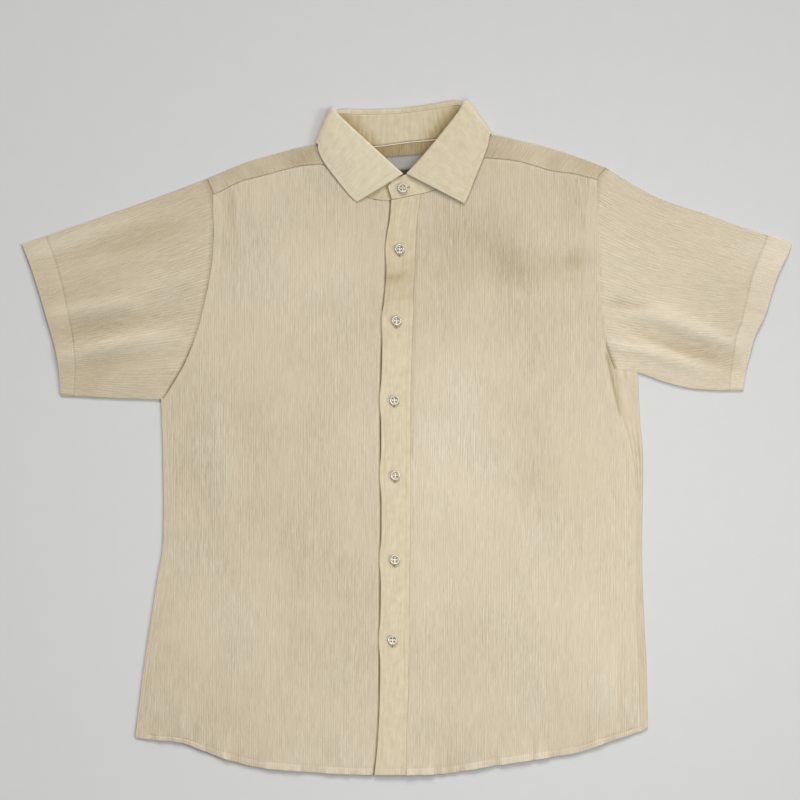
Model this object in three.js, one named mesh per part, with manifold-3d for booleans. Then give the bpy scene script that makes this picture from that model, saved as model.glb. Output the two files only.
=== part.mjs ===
// A short-sleeved button-front shirt in light crinkled cotton, buttoned up and laid flat, front up.
// Millimetres. +Z is up from the surface it lies on, +Y runs from the hem to the collar, and +X is
// the wearer's left. The origin is on the surface, under the middle of the shirt.
import * as THREE from "three";
import { mergeVertices } from "three/addons/utils/BufferGeometryUtils.js";
import Module from "manifold-3d";

const wasm = await Module();
wasm.setup();

// Walls
const CLOTH = 1.0; // one layer of shirting
const STAND = 1.2; // collar stand: two layers and interfacing
const FALL = 1.4; // collar fall
const PLACKET = 1.6; // folded front strip
const GAP = 0.3; // between neighbours at a seam

// How the pressed layers lie
const FOLD = 1.3; // outer radius of the cloth where it turns at a side
const FLAT_TOP = 2 * FOLD; // height of the upper layer along a folded side
const RISE = 1.4; // how much higher the upper layer lies away from the folds
const RISE_REACH = 40;
const COLLAR_LIFT = 1.9; // the yoke lies on the back of the collar fall
const LIFT_NEAR = 12;
const LIFT_FAR = 50;
const OVERLAP_RISE = 1.2; // the left front climbs onto the placket
const OVERLAP_REACH = 45;

// Hems are turned to the inside
const HEM = 8;
const CUFF_HEM = 25;
const HEM_STEP = 0.5;
const HEM_STEP_REACH = 12;

// Rows and columns that neighbouring panels share, so that their seams run side by side
const SIDE_ROWS = 10; // underarm to hem
const ARMHOLE_ROWS = 16; // the whole armhole, two to each place in its table
const BACK_YOKE_ROW = 10; // where the back yoke seam meets the armhole
const FRONT_YOKE_ROW = 14; // where the front yoke seams meet it
const YOKE_COLUMNS = 7; // each shoulder
const NECK_COLUMNS = 8; // across the back of the neck
const SIDE_SHARE = 0.6; // share of a front's outer edge that is side seam

// Outlines: each is a short list of [x, y] that a smooth curve runs through.
const SIDE_RIGHT = [[-315, -347.5], [-303.5, -258.5], [-289.5, -165.5], [-282.5, -119], [-282.5, -26.5], [-285, 44.5]];
const SIDE_LEFT = [[280, -336], [278, -258.5], [274.5, -189], [273, -119], [274.5, -26.5], [271, 20], [268.5, 77]];
const SEAM_RIGHT = [[-301, -350], [-290.5, -258.5], [-279, -165.5], [-274.5, -119], [-276.5, -26.5], [-280.5, 45]];
const SEAM_LEFT = [[271.5, -341], [268.5, -258.5], [266, -189], [266, -65], [261, -17], [249, 30], [240, 80]];
const HEM_LINE = [[-315, -347.5], [-301, -350], [-262.5, -354], [-239.5, -362], [-210.5, -373], [-170, -383],
  [-123.5, -387.5], [-77, -390.5], [-37.5, -391.5], [0, -391.5], [39, -390.5], [62, -387.5], [108.5, -380],
  [155, -373], [201.5, -365], [224.5, -357], [247.5, -349], [271.5, -341], [280, -336]];
const ARMHOLE_RIGHT = [[-280.5, 45], [-257, 84], [-242, 122.5], [-231.5, 164], [-225, 200], [-222, 240], [-222, 262],
  [-223.5, 282], [-230.5, 299.5]];
const ARMHOLE_LEFT = [[240, 80], [227.5, 114], [219, 145], [213.8, 180], [213.8, 215], [215.5, 250], [218, 275],
  [220.5, 299], [230.5, 312.5]];
const SHOULDER_RIGHT = [[-230.5, 299.5], [-185, 318], [-136.5, 332], [-98, 340]];
const SHOULDER_LEFT = [[90, 352], [148, 340], [194.5, 326], [230.5, 312.5]];
const YOKE_FRONT_RIGHT = [[-223.5, 282], [-211.5, 287.5], [-192, 297], [-169, 303], [-121, 315], [-82, 316]];
const YOKE_FRONT_LEFT = [[76, 324], [95, 324], [130.5, 320], [167.5, 309.5], [195.5, 305.5], [220.5, 299]];
const YOKE_BACK = [[-222, 240], [0, 244], [215.5, 250]];
const NECK_BACK = [[-98, 340], [-75, 336.3], [-52, 336.6], [-28, 338.7], [-3, 342.2], [22, 344.8], [46, 346.8],
  [68, 348.5], [90, 352]];
const NECK_RIGHT = [[13, 277], [-5, 274.5], [-20, 274], [-38, 275.5], [-54, 283.5], [-70, 300], [-82, 316]];
const NECK_LEFT = [[17, 281.5], [37, 287.5], [53, 298], [66, 311], [76, 324]];
const NECK_SIDE_RIGHT = [[-98, 340], [-91, 328], [-82, 316]];
const NECK_SIDE_LEFT = [[90, 352], [84, 337.5], [76, 324]];
const SLEEVE_TOP_RIGHT = [[-230.5, 299.5], [-283, 279.5], [-351.5, 255.5], [-446, 223.5]];
const SLEEVE_TOP_LEFT = [[230.5, 312.5], [289.5, 278.5], [349.5, 258], [392.5, 242.5], [446, 226.5]];
const SLEEVE_UNDER_RIGHT = [[-285, 44.5], [-340, 45.5], [-401, 48]];
const SLEEVE_UNDER_LEFT = [[268.5, 77], [281, 72], [298, 65], [328, 57], [360, 54], [390.5, 54]];
const CUFF_RIGHT = [[-401, 48], [-405, 91], [-416, 133.5], [-433, 189.5], [-446, 223.5]];
const CUFF_LEFT = [[390.5, 54], [392.5, 71], [403, 114], [416, 142], [428.5, 182.5], [443.5, 215], [446, 226.5]];
const PLACKET_EDGE = [[-18, 274.5], [-19, 255.5], [-22, 232], [-23.5, 187], [-26, 155], [-28.5, 90], [-29.5, 0],
  [-29, -100], [-30, -190], [-31, -300], [-34, -360], [-37.5, -391.5]];
const PLACKET_SEAM = [[17, 281.5], [13, 255.5], [10.5, 218.5], [8.5, 160.5], [5, 43], [5, -73], [3.5, -189],
  [2.5, -292], [0.5, -336.5], [0, -391.5]];

// The collar is one ring pressed flat. Each row is a place along it: where the fall turns over at its
// roll, and its free edge. The z values are heights of the middle of the wall.
const COLLAR_COLUMNS = ["rollX", "rollY", "rollZ", "edgeX", "edgeY", "edgeZ"];
const named = (rows, columns) => rows.map((row) => Object.fromEntries(columns.map((name, k) => [name, row[k]])));
const COLLAR_RIGHT = named([
  [-3.5, 305, 8.2, -57.5, 272.5, 5.4],
  [-20, 319.5, 10.4, -68, 280, 5.5],
  [-41, 338.5, 12, -80.5, 296, 6.2],
  [-56.5, 352.5, 12.8, -90, 310, 6.8],
  [-71, 366, 13, -97, 322, 7],
  [-80, 374.5, 13, -102, 332, 7],
], COLLAR_COLUMNS);
const COLLAR_BACK = named([
  [-70, 380.3, 0.7, -82, 334, 0.7],
  [-50, 379.5, 0.7, -54, 329.5, 0.7],
  [-27, 380, 0.7, -28, 329, 0.7],
  [-4, 381.2, 0.7, -3, 330.5, 0.7],
  [18, 384, 0.7, 24, 333.5, 0.7],
  [38, 387, 0.7, 50, 337, 0.7],
  [55, 389.7, 0.7, 76, 343.5, 0.7],
], COLLAR_COLUMNS);
const COLLAR_LEFT = named([
  [-0.5, 305, 10.2, 67, 270.5, 6],
  [11, 317, 11.2, 72.5, 281.5, 6.1],
  [23, 330.5, 12, 77, 294, 6.4],
  [36, 346, 12.7, 83, 309, 6.8],
  [48, 361, 13, 88.5, 322, 7],
  [60, 376.5, 13, 94, 337, 7],
], COLLAR_COLUMNS);
// The collar's two side folds, and the ends of the stand past the fall.
const SIDE_FOLD_RIGHT = { roll: [-87.5, 381.5], edge: [-105.6, 340.4], neck: [-97.2, 339.6] };
const SIDE_FOLD_LEFT = { roll: [70.5, 390.8], edge: [99, 351.6], neck: [88.9, 353.2] };
const SIDE_ANGLES = [90, 54, 18, -18, -54, -90].map(THREE.MathUtils.degToRad);
const END_COLUMNS = ["topX", "topY", "topZ", "neckX", "neckY", "neckZ"];
const STAND_END_RIGHT = named([
  [10, 289, 3.6, 12, 277.2, 3.4],
  [3, 299, 3.7, -5, 274.8, 3.5],
], END_COLUMNS);
const STAND_END_LEFT = named([
  [-9, 301.5, 5.7, 6, 279.7, 5.3],
  [-17.5, 297, 5.7, -6, 277.3, 5.4],
  [-21.5, 290, 5.8, -17, 275.2, 5.5],
], END_COLUMNS);
const ROLL_RADIUS = 2.1; // middle of the wall, where the fall turns over
const STAND_SEAM = 5; // how far below the roll the fall is sewn to the stand
const LEAF_BOW = 0.9; // how much the leaves bow up between the roll and the edge

// Buttons: a collar button on the stand, then six down the placket.
const COLLAR_BUTTON = [-4.5, 288.5];
const BUTTONS = [[-8, 218], [-11.5, 135], [-14, 43], [-13, -44], [-13.5, -141.5], [-16, -234.5]];
const BUTTON_RADIUS = 5.7;
const BUTTON_THICK = 2.4;
const BUTTON_SIDES = 14;
const BUTTON_HOLE = 0.8;
const BUTTON_HOLE_OFFSET = 1.35;
const BUTTON_PULL = 2.2; // how far each button kicks the placket's free edge out
const BUTTON_PULL_REACH = 16;

const LABEL = { left: -24, right: 21, low: 302, high: 327, thick: 1.0 };

// The largest folds: from, to, half width and height. A negative height is a trough.
const FOLDS = named([
  [-373, 128, -251, 138, 13, -1.2],
  [-373, 96, -262, 108, 13, 1.4],
  [-350, 222, -238, 240, 15, -1.0],
  [281, 152, 330, 128, 13, 1.6],
  [264, 130, 393, 84, 12, -1.9],
  [249, 104, 371, 67, 12, 2.4],
  [178, 198, 212, 204, 13, -1.2],
  [150, 216, 208, 226, 14, 1.0],
  [-209, 286, -207, 250, 12, -1.0],
  [-256, -300, -260, -349, 13, 1.0],
  [238, -250, 228, -327, 13, 1.3],
  [-232, 60, -210, -60, 20, 0.9],
], ["x0", "y0", "x1", "y1", "half", "height"]);
const FOLD_ENDS = 0.35; // share of a fold's height left at its ends

const clamp = (value) => Math.min(1, Math.max(0, value));
const mix = (a, b, t) => a + (b - a) * t;
function smooth(from, to, value) {
  const t = clamp((value - from) / (to - from));
  return t * t * (3 - 2 * t);
}
const steps = (count, from = 0, to = 1) => Array.from({ length: count + 1 }, (_, k) => mix(from, to, k / count));

// Lines in plan are functions from 0..1 to a Vector2. even spaces them by length, and placed puts
// each point of its table at an equal share.
const spline = (points) => new THREE.SplineCurve(points.map(([x, y]) => new THREE.Vector2(x, y)));
function even(points) {
  const line = spline(points);
  line.arcLengthDivisions = 400;
  return (t) => line.getPointAt(clamp(t));
}
function placed(points) {
  const line = spline(points);
  return (t) => line.getPoint(clamp(t));
}
const part = (line, from, to) => (t) => line(mix(from, to, t));
const moved = (line, dx, dy) => (t) => line(t).add(new THREE.Vector2(dx, dy));
const straight = (from, to) => (t) => from.clone().lerp(to, t);
const joined = (first, second, share) => (t) => (t < share ? first(t / share) : second((t - share) / (1 - share)));
function fitted(line, start, end) {
  const atStart = start.clone().sub(line(0));
  const atEnd = end.clone().sub(line(1));
  return (t) => line(t).addScaledVector(atStart, 1 - t).addScaledVector(atEnd, t);
}

// Where a line reaches a value of x or y. The line rises or falls steadily along that axis.
function where(line, axis, value) {
  const rising = line(1)[axis] > line(0)[axis];
  let low = 0;
  let high = 1;
  for (let k = 0; k < 40; k++) {
    const middle = (low + high) / 2;
    if (line(middle)[axis] < value === rising) low = middle;
    else high = middle;
  }
  return (low + high) / 2;
}

// A plan surface between four edges. The left and right edges are fitted to the corners.
function patch(bottom, top, left, right) {
  const fitLeft = fitted(left, bottom(0), top(0));
  const fitRight = fitted(right, bottom(1), top(1));
  return (u, v) => new THREE.Vector2()
    .addScaledVector(bottom(u), 1 - v)
    .addScaledVector(top(u), v)
    .addScaledVector(fitLeft(v), 1 - u)
    .addScaledVector(fitRight(v), u)
    .addScaledVector(bottom(0), -(1 - u) * (1 - v))
    .addScaledVector(bottom(1), -u * (1 - v))
    .addScaledVector(top(0), -(1 - u) * v)
    .addScaledVector(top(1), -u * v);
}

const sideRight = even(SIDE_RIGHT);
const sideLeft = even(SIDE_LEFT);
const seamRight = even(SEAM_RIGHT);
const seamLeft = even(SEAM_LEFT);
const hemLine = even(HEM_LINE);
const armholeRight = placed(ARMHOLE_RIGHT);
const armholeLeft = placed(ARMHOLE_LEFT);
const shoulderRight = even(SHOULDER_RIGHT);
const shoulderLeft = even(SHOULDER_LEFT);
const yokeFrontRight = even(YOKE_FRONT_RIGHT);
const yokeFrontLeft = even(YOKE_FRONT_LEFT);
const yokeBack = even(YOKE_BACK);
const sleeveTopRight = even(SLEEVE_TOP_RIGHT);
const sleeveTopLeft = even(SLEEVE_TOP_LEFT);
const sleeveUnderRight = even(SLEEVE_UNDER_RIGHT);
const sleeveUnderLeft = even(SLEEVE_UNDER_LEFT);
const placketEdge = even(PLACKET_EDGE);
const placketSeam = even(PLACKET_SEAM);

// Distance in from the nearest folded side.
function nearest({ x, y }, [x0, y0], [x1, y1]) {
  const along = clamp(((x - x0) * (x1 - x0) + (y - y0) * (y1 - y0)) / ((x1 - x0) ** 2 + (y1 - y0) ** 2));
  return { along, away: Math.hypot(x - mix(x0, x1, along), y - mix(y0, y1, along)) };
}
const FOLDED_SIDES = [sideRight, sideLeft, shoulderRight, shoulderLeft, sleeveTopRight, sleeveTopLeft,
  sleeveUnderRight, sleeveUnderLeft].flatMap((line) => {
  const points = steps(12).map((t) => line(t).toArray());
  return points.slice(1).map((end, k) => [points[k], end]);
});
const inset = (plan) => Math.min(...FOLDED_SIDES.map(([from, to]) => nearest(plan, from, to).away));

// How far the collar fall under the yoke lifts what lies on it.
function lift(plan) {
  const { away } = nearest(plan, NECK_BACK[0], NECK_BACK.at(-1));
  return COLLAR_LIFT * (1 - smooth(LIFT_NEAR, LIFT_FAR, away));
}
function foldsAt(plan) {
  return FOLDS.reduce((sum, fold) => {
    const { along, away } = nearest(plan, [fold.x0, fold.y0], [fold.x1, fold.y1]);
    const swell = mix(FOLD_ENDS, 1, Math.sin(Math.PI * along));
    return sum + fold.height * swell * Math.exp(-((away / fold.half) ** 2));
  }, 0);
}
// Top of the upper layer of cloth.
function upper(plan) {
  const room = smooth(FOLD, RISE_REACH, inset(plan));
  return lift(plan) + FLAT_TOP + Math.max(0, (RISE + foldsAt(plan)) * room);
}
// The left front climbs from its own level onto the placket.
function upperLeft(plan) {
  const fromSeam = plan.x - placketSeam(where(placketSeam, "y", plan.y)).x;
  return upper(plan) + OVERLAP_RISE * (1 - smooth(0, OVERLAP_REACH, fromSeam));
}
// How much thicker a turned hem is, fading out towards the folded sides.
const hemStep = (plan, isHem) => (isHem ? HEM_STEP * smooth(FOLD, HEM_STEP_REACH, inset(plan)) : 0);

// A closed wall of cloth from a grid of [outer point, inner point]. keep says which cells are cloth,
// and ring joins the last column to the first.
function wall(grid, { ring = false, keep = () => true } = {}) {
  const columns = grid.length;
  const rows = grid[0].length;
  const outer = (i, j) => 2 * ((i % columns) * rows + j);
  const faces = [];
  for (let i = 0; i < (ring ? columns : columns - 1); i++) {
    for (let j = 0; j < rows - 1; j++) {
      if (!keep(i, j)) continue;
      const [a, b, c, d] = [outer(i, j), outer(i + 1, j), outer(i + 1, j + 1), outer(i, j + 1)];
      faces.push([a, b, c], [a, c, d]);
    }
  }
  const rim = new Map();
  for (const face of faces) {
    face.forEach((from, k) => {
      const to = face[(k + 1) % 3];
      if (!rim.delete(`${to},${from}`)) rim.set(`${from},${to}`, [from, to]);
    });
  }
  const index = faces.flatMap(([a, b, c]) => [a, b, c, a + 1, c + 1, b + 1]);
  for (const [from, to] of rim.values()) index.push(to, from, from + 1, to, from + 1, to + 1);
  return facingOut(grid.flat(2), index);
}
function facingOut(points, index) {
  let volume = 0;
  for (let k = 0; k < index.length; k += 3) {
    const [a, b, c] = index.slice(k, k + 3).map((n) => points[n]);
    volume += a.dot(b.clone().cross(c));
  }
  if (volume < 0) index.reverse();
  const geometry = new THREE.BufferGeometry().setFromPoints(index.map((n) => points[n]));
  geometry.computeVertexNormals();
  return geometry;
}

const at = (plan, z) => new THREE.Vector3(plan.x, plan.y, z);
const lying = (plan, top, thick) => [at(plan, top), at(plan, top - thick)];
const under = (plan) => [at(plan, lift(plan)), at(plan, lift(plan) + CLOTH)];

// The turn of the cloth from the under layer to the upper one. reach(d) is the plan place d in from
// the fold line, and the angle runs from below the fold, at -90 degrees, to above it, at 90.
const TURN_ANGLES = [-60, -20, 20, 60].map(THREE.MathUtils.degToRad);
function turn(reach, angle) {
  return [FOLD, FOLD - CLOTH].map((radius) => {
    const plan = reach(FOLD - radius * Math.cos(angle));
    return at(plan, lift(plan) + FOLD + radius * Math.sin(angle));
  });
}

// Rows from the hem to the underarm, the turned hem first, then up the armhole.
const SIDE_LENGTH = 400;
const HEM_ROWS = [0, HEM / SIDE_LENGTH, (HEM + 1) / SIDE_LENGTH];
const sideRows = [...HEM_ROWS, ...steps(SIDE_ROWS, 0.09, 1)];
const frontRows = [
  ...sideRows.map((v) => v * SIDE_SHARE),
  ...steps(FRONT_YOKE_ROW, SIDE_SHARE, 1).slice(1),
];
const armholeTo = (line, row) => part(line, 0, row / ARMHOLE_ROWS);

function front(plan, columns, top) {
  return wall(steps(columns).map((u) => frontRows.map((v, row) => {
    const place = plan(u, v);
    return lying(place, top(place), CLOTH + hemStep(place, row < HEM_ROWS.length - 1));
  })));
}
// The right front runs on under the placket, nearly as far as the placket's seam.
function frontRight() {
  const inner = moved(placketSeam, -3, 0);
  const bottom = part(hemLine, where(hemLine, "x", seamRight(0).x), where(hemLine, "x", inner(1).x));
  const neck = placed([...NECK_RIGHT].reverse());
  const columns = YOKE_COLUMNS + NECK_RIGHT.length - 1;
  const top = moved(joined(yokeFrontRight, neck, YOKE_COLUMNS / columns), 0, -GAP);
  const outer = joined(seamRight, armholeTo(armholeRight, FRONT_YOKE_ROW), SIDE_SHARE);
  return front(patch(bottom, top, outer, (v) => inner(1 - v)), columns, upper);
}
function frontLeft() {
  const inner = moved(placketSeam, GAP, 0);
  const bottom = part(hemLine, where(hemLine, "x", inner(1).x), where(hemLine, "x", seamLeft(0).x));
  const neckColumns = NECK_LEFT.length - 1;
  const columns = neckColumns + YOKE_COLUMNS;
  const top = moved(joined(placed(NECK_LEFT), yokeFrontLeft, neckColumns / columns), 0, -GAP);
  const outer = joined(seamLeft, armholeTo(armholeLeft, FRONT_YOKE_ROW), SIDE_SHARE);
  return front(patch(bottom, top, (v) => inner(1 - v), outer), columns, upperLeft);
}

// The placket lies on the right front and is kicked out a little at each button.
function placketPlan(u, v) {
  const seam = placketSeam(1 - v);
  const edge = placketEdge(1 - v);
  const pull = BUTTONS.reduce((sum, [, y]) => sum + Math.exp(-(((edge.y - y) / BUTTON_PULL_REACH) ** 2)), 0);
  edge.x -= BUTTON_PULL * pull;
  return edge.lerp(seam, u);
}
const placketTop = (plan) => upper(plan) + GAP + PLACKET;
function placket() {
  return wall(steps(3).map((u) => steps(36).map((v) => {
    const place = placketPlan(u, v);
    return lying(place, placketTop(place), PLACKET);
  })));
}

// The back lies on the surface. Its sides turn up and over to meet the fronts at the side seams.
function back() {
  const [cornerRight, cornerLeft] = [armholeRight(0), armholeLeft(0)];
  const width = sideLeft(0).x - sideRight(0).x;
  const shareRight = (cornerRight.x - sideRight(1).x) / width;
  const shareLeft = 1 - (sideLeft(1).x - cornerLeft.x) / width;
  const underarms = joined(
    straight(sideRight(1), cornerRight),
    joined(straight(cornerRight, cornerLeft), straight(cornerLeft, sideLeft(1)),
      (shareLeft - shareRight) / (1 - shareRight)),
    shareRight,
  );
  const lower = patch(hemLine, underarms, sideRight, sideLeft);
  const higher = patch(straight(cornerRight, cornerLeft), moved(yokeBack, 0, -GAP),
    armholeTo(armholeRight, BACK_YOKE_ROW), armholeTo(armholeLeft, BACK_YOKE_ROW));

  const edge = FOLD / width;
  const underColumns = [edge, ...steps(9, shareRight, shareLeft), 1 - edge];
  const wrapShares = steps(2);
  const firstUnder = wrapShares.length + TURN_ANGLES.length;
  const lastUnder = firstUnder + underColumns.length - 1;

  const lapped = (from, to, share) => {
    const place = from.clone().lerp(to, share);
    return lying(place, upper(place), CLOTH);
  };
  const lowRow = (v) => [
    ...[...wrapShares].reverse().map((t) => lapped(lower(edge, v), moved(seamRight, -GAP, 0)(v), t)),
    ...[...TURN_ANGLES].reverse().map((angle) => turn((d) => lower(d / width, v), angle)),
    ...underColumns.map((u) => under(lower(u, v))),
    ...TURN_ANGLES.map((angle) => turn((d) => lower(1 - d / width, v), angle)),
    ...wrapShares.map((t) => lapped(lower(1 - edge, v), moved(seamLeft, GAP, 0)(v), t)),
  ];
  const spread = (u) => clamp((u - shareRight) / (shareLeft - shareRight));
  const highRow = (v) => lowRow(1).map((pair, column) =>
    column > firstUnder && column < lastUnder ? under(higher(spread(underColumns[column - firstUnder]), v)) : pair);
  const rows = [...sideRows.map(lowRow), ...steps(BACK_YOKE_ROW).slice(1).map(highRow)];
  const keep = (i, j) => j < sideRows.length - 1 || (i > firstUnder && i < lastUnder - 1);
  return wall(rows[0].map((_, column) => rows.map((row) => row[column])), { keep });
}

// The yoke lies over the upper back, turns at both shoulders and ends in a strip on each front.
function yoke() {
  const columns = 2 * YOKE_COLUMNS + NECK_COLUMNS;
  const neckFrom = YOKE_COLUMNS / columns;
  const neckTo = 1 - neckFrom;
  const neckBack = placed(NECK_BACK);
  const rise = joined(shoulderRight, joined(neckBack, shoulderLeft, NECK_COLUMNS / (columns - YOKE_COLUMNS)), neckFrom);
  const flat = patch(yokeBack, rise, part(armholeRight, BACK_YOKE_ROW / ARMHOLE_ROWS, 1),
    part(armholeLeft, BACK_YOKE_ROW / ARMHOLE_ROWS, 1));
  const stripRight = patch(shoulderRight, yokeFrontRight, part(armholeRight, 1, FRONT_YOKE_ROW / ARMHOLE_ROWS),
    placed(NECK_SIDE_RIGHT));
  const stripLeft = patch(shoulderLeft, yokeFrontLeft, placed(NECK_SIDE_LEFT),
    part(armholeLeft, 1, FRONT_YOKE_ROW / ARMHOLE_ROWS));
  const strip = (u, v) => (u < 0.5 ? stripRight(clamp(u / neckFrom), v) : stripLeft(clamp((u - neckTo) / neckFrom), v));

  const flatRows = steps(2 * (ARMHOLE_ROWS - BACK_YOKE_ROW));
  const grid = steps(columns).map((u, column) => {
    const inNeck = column > YOKE_COLUMNS && column < columns - YOKE_COLUMNS;
    const depth = flat(u, 0).distanceTo(flat(u, 1));
    const stripDepth = strip(u, 0).distanceTo(strip(u, 1));
    const flatIn = (d) => flat(u, 1 - d / depth);
    const stripIn = (d) => strip(u, d / stripDepth);
    return [
      ...flatRows.slice(0, -1).map((v) => under(flat(u, v))),
      under(inNeck ? flat(u, 1) : flatIn(FOLD)),
      ...TURN_ANGLES.map((angle) => turn(angle < 0 ? flatIn : stripIn, angle)),
      ...[FOLD / stripDepth, 0.5, 1].map((v) => lying(strip(u, v), upper(strip(u, v)), CLOTH)),
    ];
  });
  const isNeck = (i) => i >= YOKE_COLUMNS && i < columns - YOKE_COLUMNS;
  return wall(grid, { keep: (i, j) => j < flatRows.length - 1 || !isNeck(i) });
}

// A sleeve is a tube pressed flat, from the armhole to a deep turned hem. baseShare is the part of
// its width that meets the back's wrapped side under the arm.
function sleeve({ side, hole, lowFold, highFold, cuff, baseShare, cuffShare }) {
  const offHole = (t) => hole(t).add(new THREE.Vector2(side * GAP, GAP * (1 - smooth(0, 0.2, t))));
  const offset = new THREE.Vector2(side * GAP, GAP);
  const base = straight(lowFold(0).add(offset), offHole(0));
  const armhole = joined(base, offHole, baseShare);
  const opening = joined(part(cuff, 0, cuffShare), part(cuff, cuffShare, 1), baseShare);
  const plan = patch(armhole, opening, lowFold, highFold);
  const length = plan(0.5, 0).distanceTo(plan(0.5, 1));
  const rows = [...steps(7, 0, 1 - (CUFF_HEM + 10) / length), 1 - (CUFF_HEM + 1) / length, 1 - CUFF_HEM / length, 1];
  const shares = steps(ARMHOLE_ROWS, baseShare, 1).slice(0, -1);
  const loops = rows.map((v, row) => {
    const width = plan(0, v).distanceTo(plan(1, v));
    const edge = FOLD / width;
    const across = [edge, ...shares, 1 - edge];
    const overs = [...across].reverse().map((u) => plan(u, v));
    return [
      ...across.map((u) => under(plan(u, v))),
      ...TURN_ANGLES.map((angle) => turn((d) => plan(1 - d / width, v), angle)),
      ...overs.map((place) => lying(place, upper(place), CLOTH + hemStep(place, row >= rows.length - 2))),
      ...[...TURN_ANGLES].reverse().map((angle) => turn((d) => plan(d / width, v), angle)),
    ];
  });
  return wall(loops[0].map((_, k) => loops.map((loop) => loop[k])), { ring: true });
}
const sleeveRight = () => sleeve({ side: -1, hole: armholeRight, lowFold: sleeveUnderRight, highFold: sleeveTopRight,
  cuff: even(CUFF_RIGHT), baseShare: 0.02, cuffShare: 0.04 });
const sleeveLeft = () => sleeve({ side: 1, hole: armholeLeft, lowFold: sleeveUnderLeft, highFold: sleeveTopLeft,
  cuff: even(CUFF_LEFT), baseShare: 0.12, cuffShare: 0.26 });

// The places along the collar, from its right end round the back to its left end. Each has the roll,
// the free edge and the neck seam as points.
function neckPoint([x, y], level, dx, dy) {
  const plan = new THREE.Vector2(x, y);
  return at(plan.clone().add(new THREE.Vector2(dx, dy)), level(plan));
}
const rollPoint = (row) => new THREE.Vector3(row.rollX, row.rollY, row.rollZ);
const edgePoint = (row) => new THREE.Vector3(row.edgeX, row.edgeY, row.edgeZ);
const collarPlace = (row, neck) => ({ roll: rollPoint(row), edge: edgePoint(row), neck });
function sidePlaces(fold, upperPlace, lowerPlace, side) {
  const down = new THREE.Vector2(...fold.edge).sub(new THREE.Vector2(...fold.roll)).normalize();
  const out = new THREE.Vector2(-down.y, down.x).multiplyScalar(side);
  const swing = (name, angle) => {
    const [high, low] = [upperPlace[name].z, lowerPlace[name].z];
    const radius = (high - low) / 2;
    const plan = new THREE.Vector2(...fold[name]).addScaledVector(out, radius * (Math.cos(angle) - 1));
    return at(plan, (high + low) / 2 + radius * Math.sin(angle));
  };
  return SIDE_ANGLES.map((angle) => ({
    roll: swing("roll", angle), edge: swing("edge", angle), neck: swing("neck", angle) }));
}
function collarPlaces() {
  const inFront = (plan) => upper(plan) - CLOTH / 2;
  const inFrontLeft = (plan) => upperLeft(plan) - CLOTH / 2;
  const behind = (plan) => lift(plan) + CLOTH / 2;
  const neckRight = [...NECK_RIGHT.slice(2), NECK_SIDE_RIGHT[1]].map((point) => neckPoint(point, inFront, GAP, GAP));
  const neckLeft = [...NECK_LEFT, NECK_SIDE_LEFT[1]].map((point) => neckPoint(point, inFrontLeft, -GAP, GAP));
  const neckBehind = NECK_BACK.slice(1, -1).map((point) => neckPoint(point, behind, 0, GAP));
  const right = COLLAR_RIGHT.map((row, k) => collarPlace(row, neckRight[k]));
  const behindPlaces = COLLAR_BACK.map((row, k) => collarPlace(row, neckBehind[k]));
  const left = COLLAR_LEFT.map((row, k) => collarPlace(row, neckLeft[k])).reverse();
  return [
    ...right,
    ...sidePlaces(SIDE_FOLD_RIGHT, right.at(-1), behindPlaces[0], -1),
    ...behindPlaces,
    ...sidePlaces(SIDE_FOLD_LEFT, left[0], behindPlaces.at(-1), 1).reverse(),
    ...left,
  ];
}
// Adds the directions at each place: down towards the free edge, and out of the cloth.
const places = collarPlaces().map((place, k, all) => {
  const [before, after] = [all[Math.max(0, k - 1)], all[Math.min(all.length - 1, k + 1)]];
  const down = place.edge.clone().sub(place.roll).normalize();
  const along = after.roll.clone().sub(before.roll).normalize().add(after.edge.clone().sub(before.edge).normalize());
  const out = along.cross(down).normalize();
  const roll = place.roll.clone().addScaledVector(down, FALL / 2);
  return { ...place, roll, down, out };
});

// The fall's section, as [down, out] from the roll with its normal: the seam with the stand, round
// the roll, then to the free edge.
const ROLL_ANGLES = [-90, -45, 0, 45, 90].map(THREE.MathUtils.degToRad);
function fallSection(depth, bow) {
  const rolled = ROLL_ANGLES.map((angle) => {
    const [cos, sin] = [Math.cos(angle), Math.sin(angle)];
    return [ROLL_RADIUS * (1 - cos), ROLL_RADIUS * (sin - 1), -cos, sin];
  });
  const leaf = steps(5).slice(1).map((v) => [mix(ROLL_RADIUS, depth, v), bow * Math.sin(Math.PI * v), 0, 1]);
  return [[STAND_SEAM, -2 * ROLL_RADIUS, 0, -1], ...rolled, ...leaf];
}
function collarFall() {
  return wall(places.map(({ roll, edge, down, out }) => {
    const bow = LEAF_BOW * Math.max(0, out.z);
    return fallSection(roll.distanceTo(edge), bow).map(([d, n, normalD, normalN]) => [FALL / 2, -FALL / 2].map((half) =>
      roll.clone().addScaledVector(down, d + half * normalD).addScaledVector(out, n + half * normalN)));
  }));
}

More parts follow.
